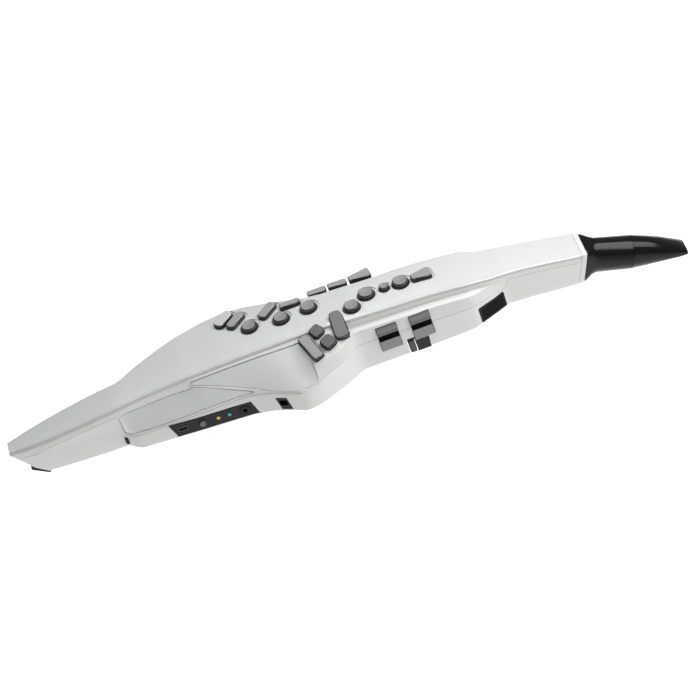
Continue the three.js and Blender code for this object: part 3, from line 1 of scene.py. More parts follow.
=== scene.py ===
import json
import math
import bmesh
import bpy
from mathutils import Matrix, Vector
from mathutils.bvhtree import BVHTree


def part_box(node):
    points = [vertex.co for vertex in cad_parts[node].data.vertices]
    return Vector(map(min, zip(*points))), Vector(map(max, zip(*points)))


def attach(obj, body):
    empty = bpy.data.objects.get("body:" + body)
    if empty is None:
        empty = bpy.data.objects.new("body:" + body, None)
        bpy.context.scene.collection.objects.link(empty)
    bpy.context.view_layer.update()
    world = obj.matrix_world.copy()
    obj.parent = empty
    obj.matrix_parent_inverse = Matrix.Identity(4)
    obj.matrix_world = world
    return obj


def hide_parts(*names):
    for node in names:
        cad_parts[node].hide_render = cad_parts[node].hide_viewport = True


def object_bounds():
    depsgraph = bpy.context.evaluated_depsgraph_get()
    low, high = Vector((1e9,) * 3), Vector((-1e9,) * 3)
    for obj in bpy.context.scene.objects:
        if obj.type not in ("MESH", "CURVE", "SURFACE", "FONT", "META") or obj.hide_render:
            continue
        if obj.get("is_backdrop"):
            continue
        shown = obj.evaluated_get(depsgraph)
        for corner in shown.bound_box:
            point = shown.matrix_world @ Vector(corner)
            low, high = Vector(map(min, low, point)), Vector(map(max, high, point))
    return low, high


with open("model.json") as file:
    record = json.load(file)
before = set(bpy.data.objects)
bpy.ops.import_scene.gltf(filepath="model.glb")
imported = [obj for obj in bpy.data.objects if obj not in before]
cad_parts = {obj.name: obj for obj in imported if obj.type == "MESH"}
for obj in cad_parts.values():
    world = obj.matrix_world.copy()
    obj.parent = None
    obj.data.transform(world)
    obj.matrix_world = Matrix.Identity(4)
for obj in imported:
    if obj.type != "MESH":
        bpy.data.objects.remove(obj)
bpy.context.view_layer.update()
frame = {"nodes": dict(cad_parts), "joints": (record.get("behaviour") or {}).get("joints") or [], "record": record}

# A digital wind controller, in metres: +X from the bell end to the mouthpiece, +Z out
# of the key face, -Y the side with the little-finger table and the jack panel.
scene = bpy.context.scene

# Camera: it looks down on the near side from far off through a long lens, rolled so that
# the instrument climbs to the right.
camera_lens = 150
camera_sensor = 36
camera_distance = 2.38
camera_reach = 20
camera_elevation = math.radians(40)
camera_roll = math.radians(20)
camera_target = Vector((-0.0004, 0.00557, 0.02225))
looking = Vector((0, math.cos(camera_elevation), -math.sin(camera_elevation)))
level_right = Vector((1, 0, 0))
level_up = Vector((0, math.sin(camera_elevation), math.cos(camera_elevation)))
camera_right = math.cos(camera_roll) * level_right - math.sin(camera_roll) * level_up
camera_up = math.sin(camera_roll) * level_right + math.cos(camera_roll) * level_up
camera = bpy.data.objects.new("camera", bpy.data.cameras.new("camera"))
camera.data.lens = camera_lens
camera.data.sensor_width = camera_sensor
camera.data.clip_end = camera_reach
camera_turn = Matrix((camera_right, camera_up, -looking)).transposed().to_4x4()
camera.matrix_world = Matrix.Translation(camera_target - looking * camera_distance) @ camera_turn
scene.collection.objects.link(camera)
scene.camera = camera

# Studio: a large softbox over the neck, a low one in front, two beyond the mouth end,
# and a white surround. Each row holds a place, an aim, a width, a height and watts.
softboxes = {
    "overhead_softbox": ((0.05, 0.65, 1.5), (0.05, 0.0, 0.03), 1.7, 1.0, 10.5),
    "front_softbox": ((0.35, -1.7, 0.12), (0.1, 0.0, 0.03), 1.6, 0.5, 0.9),
    "mouth_softbox": ((0.97, -0.10, 1.3), (0.22, 0.0, 0.03), 1.6, 0.66, 18.0),
    "beak_softbox": ((1.35, -0.10, 1.0), (0.25, 0.0, 0.03), 0.95, 0.26, 3.6),
}
surround_strength = 0.26
for light_name, (place, aim, wide, high, watts) in softboxes.items():
    lamp = bpy.data.lights.new(light_name, "AREA")
    lamp.shape = "RECTANGLE"
    lamp.size = wide
    lamp.size_y = high
    lamp.energy = watts
    lamp_object = bpy.data.objects.new(light_name, lamp)
    lamp_object.location = place
    towards = Vector(aim) - Vector(place)
    lamp_object.rotation_euler = towards.to_track_quat("-Z", "Y").to_euler()
    scene.collection.objects.link(lamp_object)
scene.view_settings.view_transform = "Standard"
surroundings = bpy.data.worlds.new("surroundings")
surroundings.use_nodes = True
background = surroundings.node_tree.nodes["Background"]
background.inputs["Color"].default_value = (1, 1, 1, 1)
background.inputs["Strength"].default_value = surround_strength
scene.world = surroundings

# Housing: two moulded shells that meet along the wing's rim, the cap ring at the neck's
# end and the battery door, all injection moulded in glossy white plastic, with a very
# fine spark-eroded grain. The shells are screwed together from below.
millimetre = 0.001
weld_distance = 0.00002
crease_angle = math.radians(52)
softened_angle = math.radians(35)
softened_segments = 2
door_edge = 0.4 * millimetre
flow_per_metre = 14.0
patches_per_metre = 55.0
grain_per_metre = 2400.0
grain_height = 0.00008
gloss_variation = 0.12
nodes = frame["nodes"]
record = frame["record"]
body_of_node = {
    node: body for body, members in record["behaviour"]["bodies"].items() for node in members
}


class Wire:
    """A value in a material. Differences, products and comparisons of wires add Math nodes."""

    def __init__(self, tree, socket):
        self.tree = tree
        self.socket = socket

    def joined(self, operation, left, right):
        made = self.tree.nodes.new("ShaderNodeMath")
        made.operation = operation
        for slot, term in zip(made.inputs, (left, right)):
            if isinstance(term, Wire):
                self.tree.links.new(term.socket, slot)
            else:
                slot.default_value = term
        return Wire(self.tree, made.outputs[0])

    def __sub__(self, other):
        return self.joined("SUBTRACT", self, other)

    def __rsub__(self, other):
        return self.joined("SUBTRACT", other, self)

    def __mul__(self, other):
        return self.joined("MULTIPLY", self, other)

    def __gt__(self, other):
        return self.joined("GREATER_THAN", self, other)

    __rmul__ = __mul__


class Finish:
    """One finish of the instrument: a material whose patterns lie on Object coordinates."""

    def __init__(self, name):
        self.material = bpy.data.materials.new(name)
        self.material.use_nodes = True
        self.tree = self.material.node_tree
        self.tree.nodes.clear()
        self.place = self.node("ShaderNodeTexCoord", out="Object")

    def node(self, kind, settings=None, sockets=None, out=0):
        """Adds a node with its settings and the values or wires of its sockets."""
        made = self.tree.nodes.new(kind)
        for name, value in (settings or {}).items():
            if name == "stops":
                while len(made.color_ramp.elements) < len(value):
                    made.color_ramp.elements.new(1)
                for stop, (at, colour) in zip(made.color_ramp.elements, value):
                    stop.position = at
                    stop.color = colour
            else:
                setattr(made, name, value)
        for name, value in (sockets or {}).items():
            if isinstance(value, Wire):
                self.tree.links.new(value.socket, made.inputs[name])
            else:
                made.inputs[name].default_value = value
        return Wire(self.tree, made.outputs[out])

    def axis(self, name):
        return self.node("ShaderNodeSeparateXYZ", sockets={0: self.place}, out=name)

    def stretched(self, x, y, z):
        """Coordinates drawn out along an axis, for fibres and drawn surfaces."""
        return self.node(
            "ShaderNodeVectorMath", {"operation": "MULTIPLY"}, {0: self.place, 1: (x, y, z)}
        )

    def noise(self, per_metre, detail=2.0, place=None):
        sockets = {"Vector": place or self.place, "Scale": per_metre, "Detail": detail}
        return self.node("ShaderNodeTexNoise", sockets=sockets)

    def ramp(self, factor, low, high, from_value=0.0, to_value=1.0):
        """Turns a factor between two values into one between low and high."""
        sockets = {
            "Value": factor, "From Min": from_value, "From Max": to_value,
            "To Min": low, "To Max": high,
        }
        return self.node("ShaderNodeMapRange", sockets=sockets)

    def mixed(self, factor, first, second):
        """A colour between two colours, which are the Mix node's sockets 6 and 7."""
        sockets = {"Factor": factor, 6: first, 7: second}
        return self.node("ShaderNodeMix", {"data_type": "RGBA"}, sockets, out=2)

    def bump(self, height, strength, distance):
        sockets = {"Height": height, "Strength": strength, "Distance": distance}
        return self.node("ShaderNodeBump", sockets=sockets)

    def shaded(self, **look):
        """Ends the material in a Principled shader, with its sockets by name."""
        sockets = {name.replace("_", " "): value for name, value in look.items()}
        shader = self.node("ShaderNodeBsdfPrincipled", sockets=sockets)
        end = self.tree.nodes.new("ShaderNodeOutputMaterial")
        self.tree.links.new(shader.socket, end.inputs["Surface"])
        return self.material


def soft_shaded(shell, angle=crease_angle):
    """Smooth faces, with creases where the surface turns by more than the angle."""
    for face in shell.faces:
        face.smooth = True
    for edge in shell.edges:
        edge.smooth = edge.is_manifold and edge.calc_face_angle() < angle
    return shell


def welded(node):
    """A copy of a CAD node's loose triangles with its doubles merged."""
    shell = bmesh.new()
    shell.from_mesh(nodes[node].data)
    bmesh.ops.remove_doubles(shell, verts=shell.verts, dist=weld_distance)
    bmesh.ops.dissolve_degenerate(shell, dist=weld_distance, edges=shell.edges)
    return shell


def finished(shell, name, materials, node, stands_for=False, edge=0.0):
    """Makes the mesh a piece on the node's body, with softened edges. It may stand for the node."""
    data = bpy.data.meshes.new(name)
    shell.to_mesh(data)
    shell.free()
    for material in materials:
        data.materials.append(material)
    piece = bpy.data.objects.new(name, data)
    scene.collection.objects.link(piece)
    if edge:
        softened = piece.modifiers.new("softened", "BEVEL")
        softened.width = edge
        softened.segments = softened_segments
        softened.limit_method = "ANGLE"
        softened.angle_limit = softened_angle
        softened.use_clamp_overlap = True
    weighted = piece.modifiers.new("weighted", "WEIGHTED_NORMAL")
    weighted.keep_sharp = True
    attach(piece, body_of_node[node])
    if stands_for:
        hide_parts(node)


def smoothed(node, material, edge=0.0):
    """A welded copy of a CAD node whose shallow edges shade as round ones."""
    finished(soft_shaded(welded(node)), node + "_skin", [material], node, True, edge)


def moulded(name, colour, roughness, grain=0.05, shine=0.0, shade=0.03, index=1.5):
    """Moulded plastic or rubber: fine grain, faint flow shading and slightly uneven gloss."""
    look = Finish(name)
    darker = [channel * (1 - shade) for channel in colour]
    tint = look.mixed(look.noise(flow_per_metre), [*darker, 1], [*colour, 1])
    patches = look.ramp(
        look.noise(patches_per_metre, detail=4.0),
        roughness * (1 - gloss_variation),
        roughness * (1 + gloss_variation),
    )
    relief = look.bump(look.noise(grain_per_metre, detail=3.0), grain, grain_height)
    return look.shaded(
        Base_Color=tint, Roughness=patches, Normal=relief, Coat_Weight=shine, IOR=index
    )


white_shell = moulded("white_moulding", (0.775, 0.775, 0.77), 0.34, shine=0.25)
for part in ("upper_casing", "lower_casing", "neck_end_ring"):
    smoothed(part, white_shell)
smoothed("battery_door", white_shell, door_edge)

# Screws: black self-tapping screws with crossed heads, sunk in the underside. They hold
# the two shells together. The profile is in shares of the head's radius and millimetres.
screw_radius = 2.6 * millimetre
screw_profile = [
    (0.0, 0.1), (0.85, 0.1), (1.0, 0.25), (1.08, 0.25), (1.12, 0.12), (1.16, -0.3), (1.0, -0.8),
    (0.0, -0.8),
]
screw_places = [
    (-0.222, -0.004), (-0.222, 0.012), (-0.100, -0.018), (-0.098, 0.026), (-0.004, -0.026),
    (0.000, 0.024), (0.096, -0.010), (0.096, 0.022), (0.166, 0.004),
]
screw_steps = 28
cross_length = 3.4 * millimetre
cross_width = 0.7 * millimetre
cross_height = 0.1 * millimetre
cross_rise = 0.12 * millimetre
below_all = -0.1


def spun(profile, steps):
    """A closed turned shape from (radius, height) pairs that start and end on the axis."""
    shell = bmesh.new()
    line = [shell.verts.new((radius, 0, height)) for radius, height in profile]
    edges = [shell.edges.new(pair) for pair in zip(line, line[1:])]
    bmesh.ops.spin(
        shell, geom=line + edges, cent=(0, 0, 0), axis=(0, 0, 1), angle=math.tau, steps=steps,
        use_merge=True,
    )
    bmesh.ops.remove_doubles(shell, verts=shell.verts, dist=weld_distance / 4)
    bmesh.ops.recalc_face_normals(shell, faces=shell.faces)
    return shell


def standing(place, outward, across=(0, 1, 0)):
    """The frame at a place with its Z outwards and its Y nearest to the given direction."""
    up = Vector(outward).normalized()
    side = Vector(across).cross(up).normalized()
    return Matrix.Translation(place) @ Matrix((side, up.cross(side), up)).transposed().to_4x4()


def bar(shell, size, place=(0, 0, 0), soft=0.0):
    """Adds a box to the mesh, with softened edges where asked, and gives its vertices."""
    made = bmesh.ops.create_cube(shell, size=1)["verts"]
    bmesh.ops.scale(shell, verts=made, vec=size)
    bmesh.ops.translate(shell, verts=made, vec=place)
    if soft:
        edges = {edge for vertex in made for edge in vertex.link_edges}
        rounded = bmesh.ops.bevel(
            shell, geom=list(edges), offset=soft, segments=2, profile=0.5, affect="EDGES",
            material=-1,
        )
        made = list({vertex for face in rounded["faces"] for vertex in face.verts})
    return made


def added(shell, extra):
    """Moves one mesh into another."""
    carrier = bpy.data.meshes.new("carrier")
    extra.to_mesh(carrier)
    extra.free()
    shell.from_mesh(carrier)
    bpy.data.meshes.remove(carrier)


underside = welded("lower_casing")
casing_below = BVHTree.FromBMesh(underside)
underside.free()
black_oxide = moulded("black_oxide_steel", (0.05, 0.05, 0.052), 0.32, grain=0.12, shade=0.2)
screws = bmesh.new()
for x, y in screw_places:
    found, normal, _, _ = casing_below.ray_cast(Vector((x, y, below_all)), Vector((0, 0, 1)))
    rings = [(share * screw_radius, height * millimetre) for share, height in screw_profile]
    screw = spun(rings, screw_steps)
    for wide, long in ((cross_width, cross_length), (cross_length, cross_width)):
        bar(screw, (wide, long, cross_height), (0, 0, cross_rise))
    bmesh.ops.transform(screw, matrix=standing(found, normal), verts=screw.verts)
    added(screws, screw)
finished(soft_shaded(screws), "casing_screws", [black_oxide], "lower_casing")

# Top plate: a thin pressed plate in silver lacquer with fine flakes, which fades to the
# casing's white towards the neck. Its near edge rolls over, drawn as a bump with painted
# shade along it. It is stuck to the upper shell.
plate_fade_start = -0.10
plate_fade_end = 0.17
silver = (0.70, 0.705, 0.705)
pearl_white = (0.84, 0.84, 0.84)
flakes_per_metre = 2600.0
flake_tone = 0.9
ripples_per_metre = 900.0
ripple_height = 0.00002
roll_width = 0.0046
roll_drop = 0.00012
# Painted shade: where the near edge rolls over, the plate's colour is darkened to this share of itself.
roll_painted_shade = 0.72
roll_fade = 0.9
roll_stations = 24
roll_margin = 3 * millimetre
rim_slope = 0.3


def near_edge_of(shell, x):
    """Where a mesh's near side crosses a plane across the body."""
    crossing = []
    for edge in shell.edges:
        a, b = (vertex.co for vertex in edge.verts)
        if (a.x - x) * (b.x - x) <= 0 and a.x != b.x:
            crossing.append(a.lerp(b, (x - a.x) / (b.x - a.x)).y)
    return min(crossing)


def lacquered(name, colour, metal, fade_to=None, roll=None):
    """Silver lacquer: flakes that vary from cell to cell under a clear coat. With a colour
    to fade to and a roll, it also fades along X, and shade is painted into its colour where
    the edge rolls over, beside a bump that drops the edge. A roll is its start and end in X,
    the edge's lowest and highest Y, and the edge as stops."""
    look = Finish(name)
    cells = look.node(
        "ShaderNodeTexVoronoi", {"feature": "F1"}, {"Vector": look.place, "Scale": flakes_per_metre},
        out="Color",
    )
    flake = look.node("ShaderNodeSeparateColor", sockets={"Color": cells}, out="Red")
    darker = [channel * flake_tone for channel in colour]
    tint = look.mixed(flake, [*darker, 1], [*colour, 1])
    height = look.noise(ripples_per_metre) * ripple_height
    if fade_to:
        start, end, low, high, stops = roll
        fade = look.ramp(look.axis("X"), 0.0, 1.0, plate_fade_start, plate_fade_end)
        tint = look.mixed(fade, tint, [*fade_to, 1])
        along = look.ramp(look.axis("X"), 0.0, 1.0, start, end)
        line = look.node("ShaderNodeValToRGB", {"stops": stops}, {0: along})
        edge = look.ramp(look.node("ShaderNodeSeparateColor", sockets={0: line}), low, high)
        inside = look.axis("Y") - edge
        # Painted shade along the rolled near edge, weaker towards the neck. The same mask drops the edge by bump.
        rolled = look.ramp(inside, 1.0, 0.0, 0.0, roll_width) * (1.0 - fade * roll_fade)
        painted_roll_shade = [channel * roll_painted_shade for channel in colour]
        tint = look.mixed(rolled, tint, [*painted_roll_shade, 1])
        height = height - rolled * rolled * roll_drop
    return look.shaded(
        Base_Color=tint, Roughness=look.ramp(flake, 0.30, 0.42), Metallic=metal,
        Normal=look.bump(height, 1.0, 1.0), Coat_Weight=0.3,
    )


plate = soft_shaded(welded("top_plate"))
roll_start, roll_end = (corner.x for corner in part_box("top_plate"))
roll_length = roll_end - roll_start
roll_places = [
    roll_start + roll_margin + (roll_length - 2 * roll_margin) * step / (roll_stations - 1)
    for step in range(roll_stations)
]
roll_edges = [near_edge_of(plate, x) for x in roll_places]
roll_low, roll_high = min(roll_edges), max(roll_edges)
roll_stops = []
for x, y in zip(roll_places, roll_edges):
    grey = (y - roll_low) / (roll_high - roll_low)
    roll_stops.append(((x - roll_start) / roll_length, (grey, grey, grey, 1)))
plate_lacquer = lacquered(
    "silver_lacquer", silver, metal=0.35, fade_to=pearl_white,
    roll=(roll_start, roll_end, roll_low, roll_high, roll_stops),
)
for face in plate.faces:
    face.material_index = int(abs(face.normal.z) < rim_slope)
finished(plate, "top_plate_skin", [plate_lacquer, white_shell], "top_plate", True)

# Wing panels: two pressed skins in a lighter silver lacquer than the plate's, let into the
# side wing and stuck down, with a narrow groove round each.
panel_edge = 0.15 * millimetre
panel_silver = lacquered("panel_lacquer", (0.88, 0.89, 0.885), metal=0.3)
for part in ("wing_panel_lower", "wing_panel_upper"):
    smoothed(part, panel_silver, panel_edge)

# Round keys: a dished grey button with a raised rim, pressed into a black skirt that
# flares to the plate, with a paler ring painted on the skirt's step as a highlight. Each
# slides in its hole on a flange with two tabs. The profiles are in shares of the key's
# radius and millimetres below its crown.
key_cap_profile = [
    (0.0, -0.60), (0.22, -0.55), (0.42, -0.38), (0.55, -0.16), (0.62, -0.03), (0.665, 0.0),
    (0.70, -0.06), (0.72, -0.22), (0.73, -0.75),
]
key_skirt_profile = [
    (0.745, -0.8), (0.775, -0.66), (0.80, -0.82), (0.82, -1.35), (0.855, -1.22), (0.89, -1.45),
    (0.93, -2.1), (0.97, -2.8), (0.99, -3.4), (1.0, -3.9),
]
key_steps = 56
key_foot = 9.3 * millimetre
key_tab = 1.2 * millimetre
key_tab_share = 0.9
crown_band = 3.4 * millimetre
cap_depth = 0.7 * millimetre
highlight_ring_inner = 0.825
highlight_ring_outer = 0.875
round_keys = ("key_d", "key_e", "key_f", "key_g", "key_a", "key_bis", "key_b")
key_grey = moulded("key_grey", (0.285, 0.285, 0.283), 0.36, grain=0.04, shade=0.12)
# Painted highlight: a paler grey ring on the skirt's step stands in for the light it catches.
skirt_painted_highlight = moulded("key_skirt_painted_highlight", (0.14, 0.14, 0.14), 0.3)
key_black = moulded("key_base_black", (0.012, 0.012, 0.012), 0.26)
joint_axis = {joint["child"]: Vector(joint["axis"]) for joint in frame["joints"]}


def crown_of(node, outward):
    """A round key's middle on its crown, and its radius there."""
    along = Vector((0, 1, 0)).cross(outward).normalized()
    across = outward.cross(along)
    places = [vertex.co for vertex in nodes[node].data.vertices]
    height = max(place.dot(outward) for place in places)
    near_crown = [place for place in places if height - place.dot(outward) < crown_band]
    reach_along = [place.dot(along) for place in near_crown]
    reach_across = [place.dot(across) for place in near_crown]
    middle_along = (min(reach_along) + max(reach_along)) / 2
    middle_across = (min(reach_across) + max(reach_across)) / 2
    middle = outward * height + along * middle_along + across * middle_across
    return middle, (max(reach_along) - min(reach_along)) / 2


for part in round_keys:
    outward = -joint_axis[part]
    middle, radius = crown_of(part, outward)
    rings = [
        (share * radius, drop * millimetre) for share, drop in key_cap_profile + key_skirt_profile
    ]
    key = spun([*rings, (radius, -key_foot), (0, -key_foot)], key_steps)
    tab_size = (radius * key_tab_share, 2 * (radius + key_tab), key_tab)
    bar(key, tab_size, (0, 0, key_tab / 2 - key_foot))
    for face in key.faces:
        place = face.calc_center_median()
        in_skirt = place.z < -cap_depth
        # Faces on the skirt's step take the painted highlight.
        on_highlight_ring = highlight_ring_inner < place.xy.length / radius < highlight_ring_outer
        face.material_index = 2 if in_skirt and on_highlight_ring else int(in_skirt)
    bmesh.ops.transform(key, matrix=standing(middle, outward), verts=key.verts)
    finished(soft_shaded(key), part + "_button", [key_grey, key_black, skirt_painted_highlight], part, True)

# Flat-sided keys: grey caps with softened edges on black shanks, which slide in holes in
# the plate, the far ledge and the little-finger table.
key_pale = moulded("key_pale", (0.55, 0.55, 0.55), 0.36, grain=0.04)
key_silver = moulded("key_silver_grey", (0.345, 0.345, 0.343), 0.34, grain=0.04, shade=0.1)
key_slate = moulded("key_slate", (0.125, 0.125, 0.125), 0.40, shade=0.12)
key_dark = moulded("key_dark_grey", (0.19, 0.19, 0.189), 0.38, shade=0.12)
cap_colours = {
    "key_eb": key_pale, "key_low_c": key_silver, "key_f_sharp": key_silver,
    "key_trill": key_silver, "key_front_f": key_silver, "key_side_c": key_silver,
    "key_side_bb": key_silver, "key_side_high_e": key_silver, "key_g_sharp": key_dark,
    "key_c_sharp": key_slate, "key_low_b": key_slate, "key_low_bb": key_silver,
}
cap_height = 0.5 * millimetre
cap_edge = 0.28 * millimetre
key_crease = math.radians(30)
for part, colour in cap_colours.items():
    outward = -joint_axis[part]
    key = soft_shaded(welded(part), key_crease)
    crown = max(vertex.co.dot(outward) for vertex in key.verts)
    for face in key.faces:
        face.material_index = int(crown - face.calc_center_median().dot(outward) > cap_height)
    finished(key, part + "_cap", [colour, key_black], part, True, cap_edge)

# Palm keys: levers moulded with a lobe over a deep groove, which slide in slots in
# the side block's wall, and the octave keys under the thumb, in harder dark plastic. On the
# palm keys the groove and the ends are painted black as shade, and the lobe and the foot,
# one grey moulding, are painted a darker and a lighter grey for the light that falls on them.
groove_low = 10.0 * millimetre
groove_high = 17.2 * millimetre
end_slope = 0.9
lever_edge = 0.3 * millimetre
# Painted light and shade: the lobe and the foot share one grey, painted darker on the lobe and lighter on the
# foot.
palm_lobe_painted_dark = moulded("palm_lobe_painted_dark_grey", (0.145, 0.145, 0.144), 0.40, shade=0.12)
palm_foot_painted_light = moulded("palm_foot_painted_light", (0.27, 0.27, 0.268), 0.40, shade=0.12)
for part in ("palm_key_d", "palm_key_e_flat"):
    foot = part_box(part)[0].z
    key = soft_shaded(welded(part), key_crease)
    for face in key.faces:
        height = face.calc_center_median().z - foot
        # Painted shade: the groove and the lever's ends are painted black.
        at_shaded_end = face.normal.x > end_slope
        in_groove_shade = groove_low < height < groove_high
        face.material_index = 2 if in_groove_shade or at_shaded_end else int(height < groove_low)
    finished(key, part + "_lever", [palm_lobe_painted_dark, palm_foot_painted_light, key_black], part, True, lever_edge)
octave_grey = moulded("octave_key_grey", (0.05, 0.05, 0.05), 0.28)
for part in ("octave_key_low", "octave_key_high"):
    smoothed(part, octave_grey, lever_edge)

# Black mouldings: the jack panel, clipped into the wing, its phones jack, the charger's
# socket, the thumb hook, the battery tray and the sensor's housing in satin black, the
# power button in dark grey, and the slotted speaker grilles in matt black.
moulding_edge = 0.12 * millimetre
button_edge = 0.2 * millimetre
satin_black = moulded("satin_black", (0.008, 0.008, 0.008), 0.36, index=1.36)
for part in (
    "jack_panel", "dc_socket", "phones_jack", "thumb_hook", "battery_tray", "breath_sensor",
):
    smoothed(part, satin_black, moulding_edge)
button_grey = moulded("power_button_grey", (0.13, 0.13, 0.13), 0.3)
smoothed("power_button", button_grey, button_edge)
matt_black = moulded("matt_black", (0.006, 0.006, 0.006), 0.55, grain=0.12, index=1.3)
for part in ("speaker_grille_near", "speaker_grille_far"):
    smoothed(part, matt_black)

# Lamps: one clear light guide, pushed into the jack panel from behind, with two windows
# in its face, yellow for power and teal for the wireless link.
window_patches = 300.0


def lit_window(name, colour, glow, strength):
    """Tinted clear plastic with a faint light behind it."""
    look = Finish(name)
    return look.shaded(
        Base_Color=(*colour, 1), Roughness=look.ramp(look.noise(window_patches), 0.15, 0.3),
        Emission_Color=(*glow, 1), Emission_Strength=strength,
    )


yellow_window = lit_window("yellow_window", (0.55, 0.40, 0.14), (1.0, 0.72, 0.22), strength=0.12)
teal_window = lit_window("teal_window", (0.05, 0.28, 0.32), (0.15, 0.75, 0.82), strength=0.10)
guide_low, guide_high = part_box("lamp_light_guide")
guide_middle = (guide_low.x + guide_high.x) / 2
guide = soft_shaded(welded("lamp_light_guide"))
for face in guide.faces:
    face.material_index = int(face.calc_center_median().x > guide_middle)
finished(guide, "lamp_windows", [yellow_window, teal_window], "lamp_light_guide", True)

# Mouth end: the socket on the neck and the mouthpiece pushed onto its spigot, both in
# polished black resin, and the reed bound to the mouthpiece, in fibre-filled resin.
fibres_per_metre = 1500.0
polished_black = moulded("polished_black", (0.005, 0.005, 0.005), 0.12, grain=0.02, index=1.34)
for part in ("mouthpiece_socket", "mouthpiece"):
    smoothed(part, polished_black)
reed_resin = Finish("reed_resin")
fibre_place = reed_resin.stretched(0.04, 1.0, 1.0)
fibres = reed_resin.noise(fibres_per_metre, detail=3.0, place=fibre_place)
reed_tint = reed_resin.mixed(fibres, (0.020, 0.020, 0.020, 1), (0.045, 0.044, 0.042, 1))
reed_black = reed_resin.shaded(
    Base_Color=reed_tint, Roughness=reed_resin.ramp(fibres, 0.34, 0.5),
    Normal=reed_resin.bump(fibres, 0.15, grain_height),
)
smoothed("reed", reed_black)

# Rubber: the thumb rest, the thumb's controller pad and the two feet, moulded in soft
# black rubber. The pad rocks in its seat, and the others are stuck to the casing.
rubber_edge = 0.25 * millimetre
rubber_black = moulded("rubber_black", (0.018, 0.018, 0.018), 0.75, grain=0.2)
for part in ("thumb_rest", "thumb_controller", "bell_foot", "wing_bumper"):
    smoothed(part, rubber_black, rubber_edge)

# Steel: the strap ring on its bracket, drawn and bent, and the USB shell, folded sheet
# plated in black nickel.
streaks_per_metre = 700.0
streak_height = 0.0001
plating_per_metre = 1800.0
steel = Finish("drawn_steel")
streaks = steel.noise(streaks_per_metre, place=steel.stretched(0.1, 1.0, 1.0))
steel_look = steel.shaded(
    Base_Color=(0.6, 0.6, 0.61, 1), Metallic=1.0, Roughness=steel.ramp(streaks, 0.2, 0.38),
    Normal=steel.bump(streaks, 0.05, streak_height),
)
for part in ("strap_bracket", "strap_ring"):
    smoothed(part, steel_look)
nickel = Finish("black_nickel")
plating = nickel.noise(plating_per_metre, detail=3.0)
nickel_look = nickel.shaded(
    Base_Color=nickel.mixed(plating, (0.05, 0.05, 0.052, 1), (0.09, 0.09, 0.09, 1)),
    Metallic=1.0, Roughness=nickel.ramp(plating, 0.32, 0.45),
)
smoothed("usb_socket", nickel_look)

# Speakers: a steel frame with a pressed black paper cone and a steel dust cap, glued in
# behind each grille. The cone's faces are those that slope to the grille.
driver_crease = math.radians(25)
cone_steepest = 0.5
cone_flattest = 0.97
paper_black = moulded("cone_paper", (0.02, 0.02, 0.021), 0.7, grain=0.5, shade=0.3)
for side in ("near", "far"):
    grille = welded("speaker_grille_" + side)
    facing = max(grille.faces, key=lambda face: face.calc_area()).normal.copy()
    grille.free()
    driver = soft_shaded(welded("speaker_driver_" + side), driver_crease)
    for face in driver.faces:
        slope = abs(face.normal.dot(facing))
        face.material_index = int(cone_steepest < slope < cone_flattest)
    finished(driver, "speaker_" + side, [steel_look, paper_black], "speaker_driver_" + side, True)

# Cells: four round cells in printed blue sleeves with bare steel ends, held end to end by
# springs in the tray.
print_per_metre = 22.0
print_level = 0.86
cell_end_slope = 0.7
sleeve = Finish("cell_sleeve")
print_wave = sleeve.node(
    "ShaderNodeTexWave", {"wave_type": "BANDS", "bands_direction": "X"},
    {"Vector": sleeve.place, "Scale": print_per_metre}, out=1,
)
sleeve_tint = sleeve.mixed(print_wave > print_level, (0.02, 0.10, 0.30, 1), (0.62, 0.62, 0.60, 1))
sleeve_gloss = sleeve.ramp(sleeve.noise(per_metre=120.0), 0.18, 0.3)
sleeve_look = sleeve.shaded(Base_Color=sleeve_tint, Roughness=sleeve_gloss, Coat_Weight=0.4)
for part in ("battery_cell_1", "battery_cell_2", "battery_cell_3", "battery_cell_4"):
    cell = soft_shaded(welded(part))
    for face in cell.faces:
        face.material_index = int(abs(face.normal.x) > cell_end_slope)
    finished(cell, part + "_can", [sleeve_look, steel_look], part, True)

# Boards: the key switches' long board and the main board, in green lacquer over copper
# traces, and the chips soldered on the main board. A chip's row holds its place in shares
# of the board and its two sides in millimetres.
traces_per_metre = 90.0
trace_height = 0.00003
chip_rows = [
    (0.2, 0.5, 12, 12), (0.42, 0.35, 7, 5), (0.42, 0.7, 5, 4), (0.62, 0.5, 9, 7),
    (0.82, 0.4, 4, 6), (0.82, 0.75, 5, 3),
]
chip_height = 1.2 * millimetre
chip_edge = 0.15 * millimetre
lacquer = Finish("board_lacquer")
traces = lacquer.node(
    "ShaderNodeTexBrick", {"offset": 0.37, "squash": 0.6, "squash_frequency": 3},
    {
        "Vector": lacquer.place, "Scale": traces_per_metre, "Mortar Size": 0.05,
        "Mortar Smooth": 0.0,
    },
    out="Fac",
)
board_look = lacquer.shaded(
    Base_Color=lacquer.mixed(traces, (0.012, 0.085, 0.035, 1), (0.03, 0.18, 0.06, 1)),
    Roughness=lacquer.ramp(lacquer.noise(per_metre=400.0), 0.25, 0.4),
    Normal=lacquer.bump(traces, 0.4, trace_height),
)
for part in ("key_switch_board", "main_board"):
    smoothed(part, board_look)
chip_black = moulded("chip_epoxy", (0.015, 0.015, 0.016), 0.5, grain=0.2)
board_low, board_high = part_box("main_board")
chips = bmesh.new()
for share_along, share_across, long, deep in chip_rows:
    chip_place = (
        board_low.x + share_along * (board_high.x - board_low.x),
        board_low.y + share_across * (board_high.y - board_low.y),
        board_high.z + chip_height / 2,
    )
    bar(chips, (long * millimetre, deep * millimetre, chip_height), chip_place, chip_edge)
finished(soft_shaded(chips), "main_board_chips", [chip_black], "main_board")

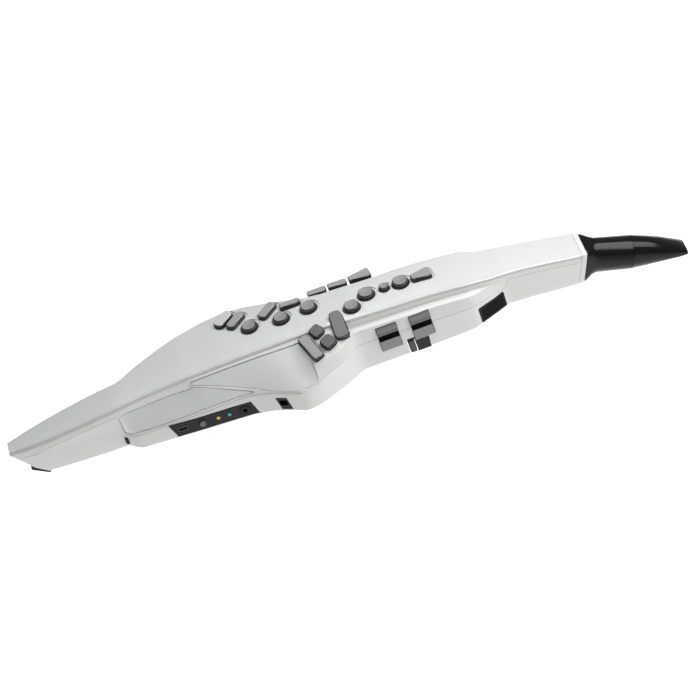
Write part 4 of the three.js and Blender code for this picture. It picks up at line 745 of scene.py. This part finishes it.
# Silicone: the soft sheet of key contacts under the keys and the tube that carries the
# breath from the socket to the sensor, both moulded and held by their neighbours.
silicone = moulded("silicone", (0.6, 0.58, 0.52), 0.6, grain=0.2)
for part in ("key_contact_sheet", "breath_tube"):
    smoothed(part, silicone)

# Ribs: two rows of tiny beads between the strip key and the square keys of the
# little-finger table, set into the casing, painted dark grey as the shade along them.
rib_start = Vector((-25.6, -16.8)) * millimetre
rib_end = Vector((-20.4, -31.8)) * millimetre
rib_gap = 1.3 * millimetre
rib_beads = 13
bead_size = (0.65 * millimetre, 1.0 * millimetre, 0.9 * millimetre)
bead_edge = 0.12 * millimetre
above_all = 0.2
table = welded("upper_casing")
casing_above = BVHTree.FromBMesh(table)
table.free()
rib_run = rib_end - rib_start
rib_side = Vector((rib_run.y, -rib_run.x)).normalized() * rib_gap
ribs = bmesh.new()
for row in (-0.5, 0.5):
    for step in range(rib_beads):
        at = rib_start + rib_run * step / (rib_beads - 1) + rib_side * row
        found, normal, _, _ = casing_above.ray_cast(Vector((*at, above_all)), Vector((0, 0, -1)))
        # The last bead of one row would have no casing under it and is left out.
        if found:
            bead = bar(ribs, bead_size, soft=bead_edge)
            bead_frame = standing(found, normal, (*rib_run, 0))
            bmesh.ops.transform(ribs, matrix=bead_frame, verts=bead)
# The beads take the dark grey key finish as painted shade.
finished(soft_shaded(ribs), "table_ribs", [key_dark], "upper_casing")

# Floor: a pale plane well below the instrument, bright enough to leave no shadow. It is
# part of the studio and not of the instrument.
floor_size = 6
floor_height = -0.35
floor_glow = 0.45
floor_mesh = bmesh.new()
bmesh.ops.create_grid(floor_mesh, x_segments=1, y_segments=1, size=floor_size)
bmesh.ops.translate(floor_mesh, verts=floor_mesh.verts, vec=(0, 0, floor_height))
floor_data = bpy.data.meshes.new("floor")
floor_mesh.to_mesh(floor_data)
floor_mesh.free()
floor = bpy.data.objects.new("floor", floor_data)
floor_white = Finish("floor_white")
floor_noise = floor_white.noise(per_metre=3.0)
floor_tone = floor_white.mixed(floor_noise, (0.93, 0.93, 0.93, 1), (0.95, 0.95, 0.95, 1))
floor_data.materials.append(floor_white.shaded(
    Base_Color=floor_tone, Roughness=0.9, Emission_Color=(1, 1, 1, 1), Emission_Strength=floor_glow
))
scene.collection.objects.link(floor)
floor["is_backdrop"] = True

low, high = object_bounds()
